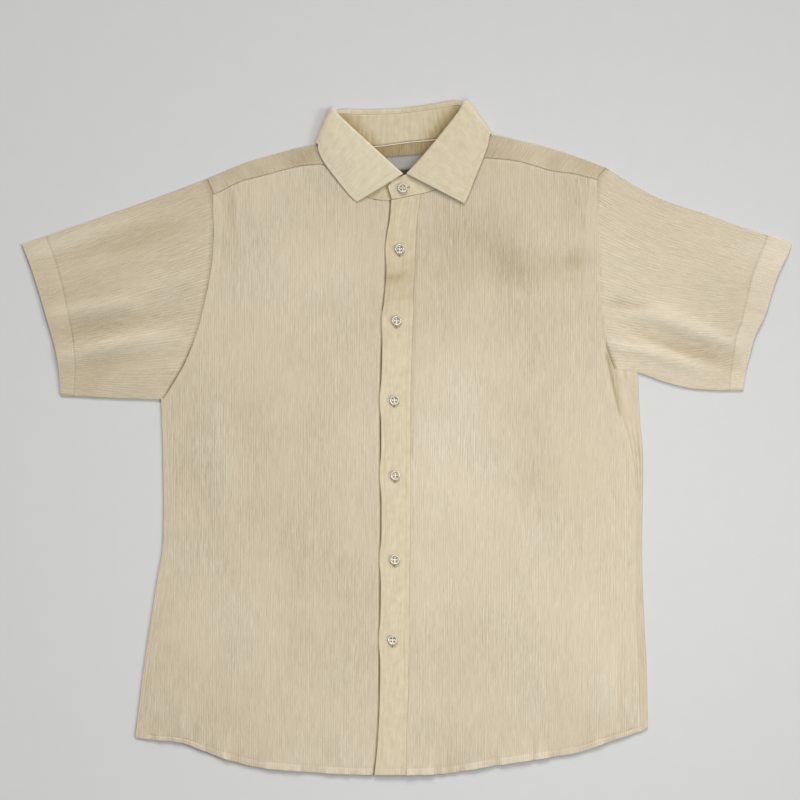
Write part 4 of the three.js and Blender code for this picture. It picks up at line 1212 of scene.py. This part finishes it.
def make_sleeves():
    make_sleeve("shirt_sleeve_right", -1, armhole_right, even(SLEEVE_UNDER_RIGHT), even(SLEEVE_TOP_RIGHT),
                even(CUFF_RIGHT), 0.02, 0.04)
    make_sleeve("shirt_sleeve_left", 1, armhole_left, even(SLEEVE_UNDER_LEFT), even(SLEEVE_TOP_LEFT),
                even(CUFF_LEFT), 0.12, 0.26)


# The collar
def neck_points(points, level, dx, dy):
    plan = np.array(points, float)
    return stacked(plan + np.array([dx, dy]), level(plan))


def collar_rows(table, necks):
    return [{"roll": np.array([row["rollX"], row["rollY"], row["rollZ"]]),
             "edge": np.array([row["edgeX"], row["edgeY"], row["edgeZ"]]), "neck": neck}
            for row, neck in zip(table, necks)]


def side_places(fold, over, beneath, side):
    """Round one of the collar's side folds, from the layer in front to the one behind."""
    down = np.subtract(fold["edge"], fold["roll"])
    down /= np.linalg.norm(down)
    out = side * np.array([-down[1], down[0]])
    places = []
    for angle in SIDE_ANGLES:
        place = {}
        for name in ("roll", "edge", "neck"):
            high, low = over[name][2], beneath[name][2]
            radius = (high - low) / 2
            plan = np.array(fold[name]) + out * radius * (math.cos(angle) - 1)
            place[name] = np.array([*plan, (high + low) / 2 + radius * math.sin(angle)])
        places.append(place)
    return places


def collar_places():
    """Points along the collar, from its right end round the back to its left end."""
    levels = [lambda plan: upper(plan) - 0.5, lambda plan: upper_left(plan) - 0.5,
              lambda plan: lift(plan) + 0.5]
    neck_right = neck_points(NECK_RIGHT[2:] + NECK_SIDE_RIGHT[1:2], levels[0], GAP, GAP)
    neck_left = neck_points(NECK_LEFT + NECK_SIDE_LEFT[1:2], levels[1], -GAP, GAP)
    right = collar_rows(COLLAR_RIGHT, neck_right)
    left = collar_rows(COLLAR_LEFT, neck_left)[::-1]
    behind = collar_rows(COLLAR_BACK, neck_points(NECK_BACK[1:-1], levels[2], 0, GAP))
    return (right + side_places(SIDE_FOLD_RIGHT, right[-1], behind[0], -1) + behind
            + side_places(SIDE_FOLD_LEFT, left[0], behind[-1], 1)[::-1] + left)


def unit(vectors):
    return vectors / np.linalg.norm(vectors, axis=-1, keepdims=True)


def facing(first, second):
    """Which way a wall between two lines faces."""
    along = unit(np.gradient(first, axis=0)) + unit(np.gradient(second, axis=0))
    return unit(np.cross(along, second - first))


def collar_lines():
    """The roll, the free edge and the neck seam, spaced by length and closer at both ends."""
    places = collar_places()
    lines = [placed([place[name] for place in places]) for name in ("roll", "edge", "neck")]
    coarse = np.linspace(0, 1, 900)
    length = run_along(lines[0](coarse)) + run_along(lines[1](coarse))
    near = np.array([0, 0.0004, 0.0011, 0.0025, 0.005])
    spaced = np.concatenate([near, np.linspace(0.01, 0.99, 230), 1 - near[::-1]])
    shares = np.interp(spaced, length / length[-1], coarse)
    return [line(shares) for line in lines]


def roll_section():
    """The fall round its roll: how far down and out each row is, and which way the wall faces there."""
    section = [(STAND_SEAM * share, -2 * ROLL_RADIUS, 0, -1) for share in (1, 0.75)]
    for angle in np.radians(np.linspace(-90, 90, 11)):
        section.append((ROLL_RADIUS * (1 - math.cos(angle)), ROLL_RADIUS * (math.sin(angle) - 1),
                        -math.cos(angle), math.sin(angle)))
    return section


def make_fall(roll, edge, down, out):
    """The fall: sewn to the stand, over its roll, and out in two bowed leaves to the free edge."""
    depth = np.linalg.norm(edge - roll, axis=-1)
    upright = np.maximum(0, out[:, 2])
    bow = LEAF_BOW * upright
    length = run_along((roll + edge) / 2)
    from_end = np.minimum(length, length[-1] - length)
    section = roll_section()
    rows = []
    for d, n, normal_d, normal_n in section:
        half = FALL / 2 * turned(from_end, FALL)
        rows.append((roll + down * d + out * n, down * normal_d + out * normal_n, half, -n + 0 * depth))
    shares = [*np.linspace(0.02, 0.82, 16), *np.linspace(0.83, 0.97, 9), 0.985, 0.993, 0.998, 1]
    for share in shares:
        d = ROLL_RADIUS + (depth - ROLL_RADIUS) * share
        from_edge = np.minimum(depth - d, from_end)
        wave = (bow * math.sin(math.pi * share) + groove(from_edge - COLLAR_STITCH, 0.12)
                + 0.25 * (soft_noise(length / 16, d / 12, 1) - 0.5) * upright)
        middle = roll + down * d[:, None] + out * wave[:, None]
        rows.append((middle, out, FALL / 2 * turned(from_edge, FALL), d))
    middle, normal, half, spread = (np.array(values) for values in zip(*rows))
    outer, inner = ((middle + normal * half[..., None] * face).transpose(1, 0, 2) for face in (1, -1))
    for face in (outer, inner):
        face[..., 2] = np.maximum(face[..., 2], 0)
    grain = np.stack([length[:, None] + 0 * outer[..., 0], spread.T], axis=-1)
    # Painted shade on the roll where the fall faces downward; the half from the middle of the back to the
    # left end is a little darker.
    facing_up = smooth(-0.2, 0.2, out[:, 2])[:, None]
    in_roll = (np.arange(len(rows)) < len(section))[None, :]
    tone = -1.1 * (1 - facing_up) * in_roll - 0.6 * (length > length[-1] / 2)[:, None]
    made["shirt_collar_fall"] = wall("shirt_collar_fall", outer, inner, DOUBLED, grain, tone)
    sew_fall(roll, down, out, depth, bow, from_end)


def sew_fall(roll, down, out, depth, bow, from_end):
    """The line of stitches along the leaves, inside the free edge."""
    def in_leaf(k, d):
        rise = bow[k] * math.sin(math.pi * (d - ROLL_RADIUS) / (depth[k] - ROLL_RADIUS))
        return roll[k] + down[k] * d + out[k] * (rise + FALL / 2 + 0.1)

    inside = np.nonzero(from_end > COLLAR_STITCH)[0]
    first, last = inside[0], inside[-1]
    line = [in_leaf(first, d) for d in np.linspace(3, depth[first] - COLLAR_STITCH, 30)]
    line += [in_leaf(k, depth[k] - COLLAR_STITCH) for k in range(first, last + 1)]
    line += [in_leaf(last, d) for d in np.linspace(depth[last] - COLLAR_STITCH, 3, 30)]
    line = np.array(line)
    line[:, 2] = np.maximum(line[:, 2], STITCH_WIDTH / 2 + 0.15)
    stitch_lines.append(line)


def stand_lines(top, neck):
    """The stand's top and its neck seam, with the ends that run on past the fall."""
    every = slice(None, None, 8)
    shares = np.array([0, 0.001, 0.003, 0.006, *np.linspace(0.01, 0.99, 220), 0.994, 0.997, 0.999, 1])
    lines = []
    for end, line in (("top", top), ("neck", neck)):
        right, left = (np.array([[row[f"{end}{axis}"] for axis in "XYZ"] for row in table])
                       for table in (STAND_END_RIGHT, STAND_END_LEFT))
        lines.append(placed(np.concatenate([right, line[every], left]))(shares))
    return lines


def stand_shade(middle, from_end):
    """Painted shade inside the neck beside the leaves, at the front, and where the stand's two ends cross.
    """
    plan, low = middle[..., :2], middle[..., 2] < 5
    inside = smooth(60, 110, from_end)
    beside = min_away(plan, ((-82, 372), (-10, 300)), ((60, 376), (2, 300)))
    crossing = nearest(plan, (-22.6, 290), (-18.1, 275))[1]
    front = (1 - inside) * np.where(low, 1.2, 0.5)
    return -0.4 - inside * (0.6 + 3.2 * bell(beside, 14)) - front - 3.5 * bell(crossing, 1.2) * low


def make_stand(top, neck):
    """The stand, up from the neck seam to the fall, with a line of stitches inside its edges."""
    top, neck = stand_lines(top, neck)
    rows = np.array([0, 0.02, 0.05, *np.linspace(0.1, 0.9, 12), 0.95, 0.98, 1])
    length = run_along((top + neck) / 2)
    from_end = np.minimum(length, length[-1] - length)[:, None]
    tall = np.linalg.norm(neck - top, axis=-1)[:, None]
    from_edge = np.minimum(np.minimum(rows * tall, (1 - rows) * tall), from_end)
    middle = top[:, None] + (neck - top)[:, None] * rows[None, :, None]
    normal = facing(top, neck)[:, None]
    swell = normal * groove(from_edge - EDGE_STITCH - 0.6, 0.18)[..., None]
    half = normal * (STAND / 2 * turned(from_edge, STAND))[..., None]
    grain = np.stack([length[:, None] + 0 * rows, rows * tall], axis=-1)
    pattern = crinkle(grain[..., 0], grain[..., 1]) * 0.8
    outer, inner = with_crinkle(middle + half + swell, middle - half + swell,
                                pattern * PRESSED_CRINKLE * turned(from_edge, STAND))
    tone = pattern * 0.6 + stand_shade(middle, from_end)
    made["shirt_collar_stand"] = wall("shirt_collar_stand", outer, inner, DOUBLED, grain, tone)


def make_collar():
    """One ring pressed flat: the fall turns over at its roll, and the stand runs on inside it."""
    roll, edge, neck = collar_lines()
    down, out = unit(edge - roll), facing(roll, edge)
    roll = roll + down * FALL / 2
    make_fall(roll, edge, down, out)
    make_stand(roll + down * (STAND_SEAM - 0.05) - out * 2 * ROLL_RADIUS, neck)


def make_label():
    """The tape inside the neck, a little askew, with a dark selvedge and painted shadow at its low end."""
    width, height = LABEL["right"] - LABEL["left"], LABEL["high"] - LABEL["low"]
    x, y = np.meshgrid(np.linspace(LABEL["left"], LABEL["right"], 46),
                       np.linspace(LABEL["low"], LABEL["high"], 26), indexing="ij")
    middle = np.array([LABEL["left"] + width / 2, LABEL["low"] + height / 2 - 1.5])
    cosine, sine = math.cos(math.radians(LABEL_TILT)), math.sin(math.radians(LABEL_TILT))
    plan = (np.stack([x, y], axis=-1) - middle) @ np.array([[cosine, sine], [-sine, cosine]]) + middle
    top = lift(plan) + CLOTH + GAP + LABEL["thick"]
    outer, inner = layer(plan, top, LABEL["thick"])
    grain = np.stack([x - LABEL["left"], y - LABEL["low"]], axis=-1)
    from_edge = np.min([grain[..., 0], width - grain[..., 0], grain[..., 1], height - grain[..., 1]], axis=0)
    # the dark selvedge, and painted shadow over the part below y 306 to 314
    shade = np.maximum(0.5 * (1 - smooth(1.2, 2.4, from_edge)), 1.6 * (1 - smooth(306, 314, y)))
    made["shirt_neck_label"] = wall("shirt_neck_label", outer, inner, TAPE, grain, shade)


# The buttons
def button_disc(shape):
    """The turned disc: a raised rim round a dished middle."""
    ring = [shape.verts.new((r * BUTTON_RADIUS * MM, 0, z * BUTTON_THICK * MM)) for r, z in BUTTON_PROFILE]
    edges = [shape.edges.new(pair) for pair in zip(ring, ring[1:])]
    bmesh.ops.spin(shape, geom=ring + edges, axis=(0, 0, 1), cent=(0, 0, 0), angle=2 * math.pi,
                   steps=48, use_merge=True)
    bmesh.ops.remove_doubles(shape, verts=shape.verts, dist=1e-6)
    bmesh.ops.recalc_face_normals(shape, faces=shape.faces)


def button_drill(shape):
    """Four pins where the holes go."""
    for right, up in ((1, 1), (-1, 1), (-1, -1), (1, -1)):
        pin = bmesh.ops.create_cone(shape, cap_ends=True, segments=16, radius1=HOLE * MM,
                                    radius2=HOLE * MM, depth=0.02)
        place = (right * HOLE_OFFSET * MM, up * HOLE_OFFSET * MM, 0)
        bmesh.ops.translate(shape, verts=pin["verts"], vec=place)


def shaped(name, shape_it):
    """A loose object whose mesh is made by a function on a bmesh."""
    shape, mesh = bmesh.new(), bpy.data.meshes.new(name)
    shape_it(shape)
    shape.to_mesh(mesh)
    shape.free()
    return in_scene(name, mesh)


def drilled_button(name):
    blank, drill = shaped("blank", button_disc), shaped("drill", button_drill)
    cut = blank.modifiers.new("holes", "BOOLEAN")
    cut.operation, cut.object, cut.solver = "DIFFERENCE", drill, "EXACT"
    drilled = bpy.data.meshes.new_from_object(blank.evaluated_get(bpy.context.evaluated_depsgraph_get()))
    for thing in (blank, drill):
        bpy.data.objects.remove(thing)
    drilled.name = name
    return drilled


def make_button(name, x, y, seat):
    """A four-hole button, with painted shade and a painted highlight by how far each point is from the
    middle.
    """
    mesh = drilled_button(name)
    mesh.transform(Matrix.Translation((x * MM, y * MM, seat * MM)))
    smoothed(mesh)
    mesh.set_sharp_from_angle(angle=math.radians(BUTTON_SHARP))
    mesh.materials.clear()
    mesh.materials.append(PEARL)
    away = [math.hypot(v.co.x / MM - x, v.co.y / MM - y) / BUTTON_RADIUS for v in mesh.vertices]
    carry_tone(mesh, np.interp(away, *zip(*BUTTON_SHADE_AND_HIGHLIGHT)))
    made[name] = in_scene(name, mesh)


def button_seats():
    """The name and place of each button, and the height of the cloth under it."""
    seats = [("shirt_button_collar", COLLAR_BUTTON, STAND_END_LEFT[-1]["topZ"] + STAND / 2)]
    for k, place in enumerate(BUTTONS, 1):
        seats.append((f"shirt_button_{k}", place, float(placket_top(np.array(place, float)))))
    return seats


def make_buttons():
    for name, (x, y), cloth in button_seats():
        make_button(name, x, y, cloth + GAP)


# Stitches
def stitch_tree():
    """Geometry nodes that lay stitches end to end along every line of a mesh."""
    group = bpy.data.node_groups.new("stitches", "GeometryNodeTree")
    group.interface.new_socket("Lines", in_out="INPUT", socket_type="NodeSocketGeometry")
    sizes = {"Pitch": STITCH_PITCH, "Length": STITCH_LENGTH, "Width": STITCH_WIDTH}
    for name, size in sizes.items():
        socket = group.interface.new_socket(name, in_out="INPUT", socket_type="NodeSocketFloat")
        socket.default_value = size * MM
    thread = group.interface.new_socket("Thread", in_out="INPUT", socket_type="NodeSocketMaterial")
    thread.default_value = THREAD
    group.interface.new_socket("Stitches", in_out="OUTPUT", socket_type="NodeSocketGeometry")

    tree = Tree(group)
    tree.add("NodeGroupInput")
    given = {socket.name: Value(tree, socket) for socket in tree.last.outputs if socket.name}
    curve = tree.add("GeometryNodeMeshToCurve", None, {0: given["Lines"]})
    spaced = tree.add("GeometryNodeCurveToPoints", {"mode": "LENGTH"},
                      {"Curve": curve, "Length": given["Pitch"]})
    rotation = Value(tree, tree.last.outputs["Rotation"])
    bead = tree.add("GeometryNodeMeshUVSphere", None, {"Segments": 6, "Rings": 4, "Radius": 0.5})
    size = tree.add("ShaderNodeCombineXYZ", None,
                    {"X": given["Width"], "Y": given["Width"], "Z": given["Length"]})
    laid = tree.add("GeometryNodeInstanceOnPoints", None,
                    {"Points": spaced, "Instance": bead, "Rotation": rotation, "Scale": size})
    real = tree.add("GeometryNodeRealizeInstances", None, {"Geometry": laid})
    finished = tree.add("GeometryNodeSetMaterial", None, {"Geometry": real, "Material": given["Thread"]})
    tree.add("NodeGroupOutput", None, {"Stitches": finished})
    return group


def make_stitches(name, lines, pitch, length, width, thread=THREAD):
    vertices = np.concatenate(lines)
    starts = np.cumsum([0] + [len(line) for line in lines])
    edges = [(k, k + 1) for a, b in zip(starts, starts[1:]) for k in range(a, b - 1)]
    mesh = bpy.data.meshes.new(name)
    mesh.from_pydata((vertices * MM).tolist(), edges, [])
    guide = in_scene("guide", mesh)
    sewing = guide.modifiers.new("sewing", "NODES")
    sewing.node_group = stitch_tree()
    chosen = {"Pitch": pitch * MM, "Length": length * MM, "Width": width * MM, "Thread": thread}
    for item in sewing.node_group.interface.items_tree:
        if item.item_type == "SOCKET" and item.in_out == "INPUT" and item.name in chosen:
            sewing[item.identifier] = chosen[item.name]
    guide.update_tag()
    depsgraph = bpy.context.evaluated_depsgraph_get()
    sewn_mesh = bpy.data.meshes.new_from_object(guide.evaluated_get(depsgraph))
    bpy.data.objects.remove(guide)
    smoothed(sewn_mesh)
    made[name] = in_scene(name, sewn_mesh)


def thread_bars():
    """Two bars of thread across each button, from hole to hole."""
    bars = []
    for _, (x, y), cloth in button_seats():
        top = cloth + GAP + BUTTON_DISH * BUTTON_THICK + 0.15
        for side in (-1, 1):
            across = x + side * HOLE_OFFSET * 0.82
            bars.append(np.array([[across, y + reach * HOLE_OFFSET, top - drop]
                                  for reach, drop in ((-0.9, 1), (-0.6, 0), (0.6, 0), (0.9, 1))]))
    return bars


def buttonhole_lines():
    """Each buttonhole's middle, the way it runs and the height of the cloth there."""
    for name, place, cloth in button_seats():
        is_collar = name == "shirt_button_collar"
        along = np.array([1, 0.15] if is_collar else [0.03, 1])
        centre = np.array(place) + along * (2.5 if is_collar else -2.5)
        yield centre, along, cloth


def buttonhole_stitches():
    """Satin stitches side by side along both lips of each buttonhole."""
    stitches = []
    for centre, along, cloth in buttonhole_lines():
        across = np.array([-along[1], along[0]])
        for t in np.linspace(-BUTTONHOLE / 2, BUTTONHOLE / 2, 30):
            for side in (-1, 1):
                ends = [centre + along * t + across * side * reach for reach in (0.25, 1.25)]
                stitches.append(np.array([[*end, cloth - 0.12] for end in ends]))
    return stitches


def make_slit_shade():
    """A dark sheet down the middle of each buttonhole: painted shade in its slit."""
    corners, faces = [], []
    for centre, along, cloth in buttonhole_lines():
        along = unit(along)
        across = np.array([-along[1], along[0]]) * 0.22
        for t in np.linspace(-BUTTONHOLE / 2, BUTTONHOLE / 2, 6):
            for side in (-1, 1):
                corners.append([*(centre + along * t + across * side), cloth + 0.07])
        first = len(corners) - 12
        faces += [(k, k + 1, k + 3, k + 2) for k in range(first, first + 10, 2)]
    made["buttonhole_slit_shade"] = piece("buttonhole_slit_shade", corners, faces, DARK)


def make_neck_seam():
    """White stitches where the collar is sewn to the back of the neck."""
    plan = neck_back(np.linspace(0.06, 0.94, 120)) - np.array([0, 1.2])
    make_stitches("neck_seam", [stacked(plan, lift(plan) + CLOTH + 0.4)], 1.2, 1.7, 1.3, WHITE)


make_front_right()
make_front_left()
make_placket()
make_back()
make_yoke()
make_sleeves()
make_collar()
make_label()
make_buttons()
make_stitches("topstitching", stitch_lines, STITCH_PITCH, STITCH_LENGTH, STITCH_WIDTH)
make_neck_seam()
make_stitches("button_threads", thread_bars(), 0.35, 0.6, 0.3)
make_stitches("buttonholes", buttonhole_stitches(), 0.5, 0.6, 0.32)
make_slit_shade()

# What each piece stands for, its cut as width, length and area, in metres, and what it lies on. A
# sleeve's width is measured all the way round.
CLOTH_PIECES = {
    "shirt_back": ("back", "shirting", (0.6, 0.642), 0.343, []),
    "shirt_yoke": ("yoke", "shirting", (0.461, 0.14), 0.0472, ["back", "shirt_collar_fall"]),
    "shirt_front_right": ("front_right", "shirting", (0.315, 0.71), 0.183, ["back"]),
    "shirt_front_left": ("front_left", "shirting", (0.272, 0.717), 0.171, ["back", "placket"]),
    "shirt_sleeve_right": ("sleeve_right", "shirting", (0.512, 0.224), 0.0805, []),
    "shirt_sleeve_left": ("sleeve_left", "shirting", (0.48, 0.234), 0.0823, []),
    "shirt_placket": ("placket", "doubled", (0.0355, 0.673), 0.0236, ["front_right"]),
    "shirt_collar_stand": ("collar_stand", "doubled", (0.441, 0.052), 0.0156,
                           ["yoke", "front_right", "placket"]),
    "shirt_collar_fall": ("collar_fall", "doubled", (0.44, 0.075), 0.0238,
                          ["yoke", "front_right", "front_left"]),
    "shirt_neck_label": ("neck_label", "label", (0.046, 0.026), 0.00117, ["yoke"]),
}
for name, (node, slot, flat, area, beneath) in CLOTH_PIECES.items():
    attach(made[name], "root")
    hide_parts(node)
    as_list(beneath)
for name in ["button_collar", *[f"button_{k}" for k in range(1, 7)]]:
    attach(made[f"shirt_{name}"], "root")
    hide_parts(name)
for name in ("topstitching", "button_threads", "buttonholes", "buttonhole_slit_shade", "neck_seam"):
    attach(made[name], "root")

# Floor, light and camera
CAMERA_HEIGHT = 3.0
VIEW_ACROSS = 0.928  # what the photograph covers, in metres
VIEW_CENTRE = (-0.0075, 0.0432)
LAMP_TINT = (1, 0.995, 0.985)

floor_mesh = bpy.data.meshes.new("floor")
floor_mesh.from_pydata([(-4, -4, 0), (4, -4, 0), (4, 4, 0), (-4, 4, 0)], [], [(0, 1, 2, 3)])
floor_mesh.materials.append(FLOOR)
floor = in_scene("floor", floor_mesh)
floor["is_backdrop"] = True


def area_light(name, place, aim, size, power):
    light = bpy.data.lights.new(name, "AREA")
    light.shape, light.size, light.energy = "SQUARE", size, power
    lamp = in_scene(name, light)
    lamp.location = place
    lamp.rotation_euler = (Vector(aim) - Vector(place)).to_track_quat("-Z", "Y").to_euler()


def distant_light(name, azimuth, elevation, spread, strength):
    """A soft light from far away: azimuth from the wearer's left towards the collar."""
    light = bpy.data.lights.new(name, "SUN")
    light.angle, light.energy, light.color = math.radians(spread), strength, LAMP_TINT
    azimuth, elevation = math.radians(azimuth), math.radians(elevation)
    level = math.cos(elevation)
    towards = Vector((math.cos(azimuth) * level, math.sin(azimuth) * level, math.sin(elevation)))
    in_scene(name, light).rotation_euler = towards.to_track_quat("Z", "Y").to_euler()


distant_light("key", 94, 37, 24, 1.9)
distant_light("low", -6, 37, 18, 0.95)
area_light("overhead", (0.22, -0.06, 0.85), (0.22, -0.06, 0), 0.5, 2.5)
world = bpy.data.worlds.new("studio")
world.use_nodes = True
world.node_tree.nodes["Background"].inputs["Color"].default_value = (1, 1, 1, 1)
world.node_tree.nodes["Background"].inputs["Strength"].default_value = 0.27
bpy.context.scene.world = world
bpy.context.scene.view_settings.view_transform = "Standard"

camera_data = bpy.data.cameras.new("camera")
camera_data.sensor_width = 36
camera_data.lens = camera_data.sensor_width * CAMERA_HEIGHT / VIEW_ACROSS
camera = in_scene("camera", camera_data)
camera.location = (*VIEW_CENTRE, CAMERA_HEIGHT)
bpy.context.scene.camera = camera

{"cad": cad_box, "visual": [list(corner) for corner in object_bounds()]}
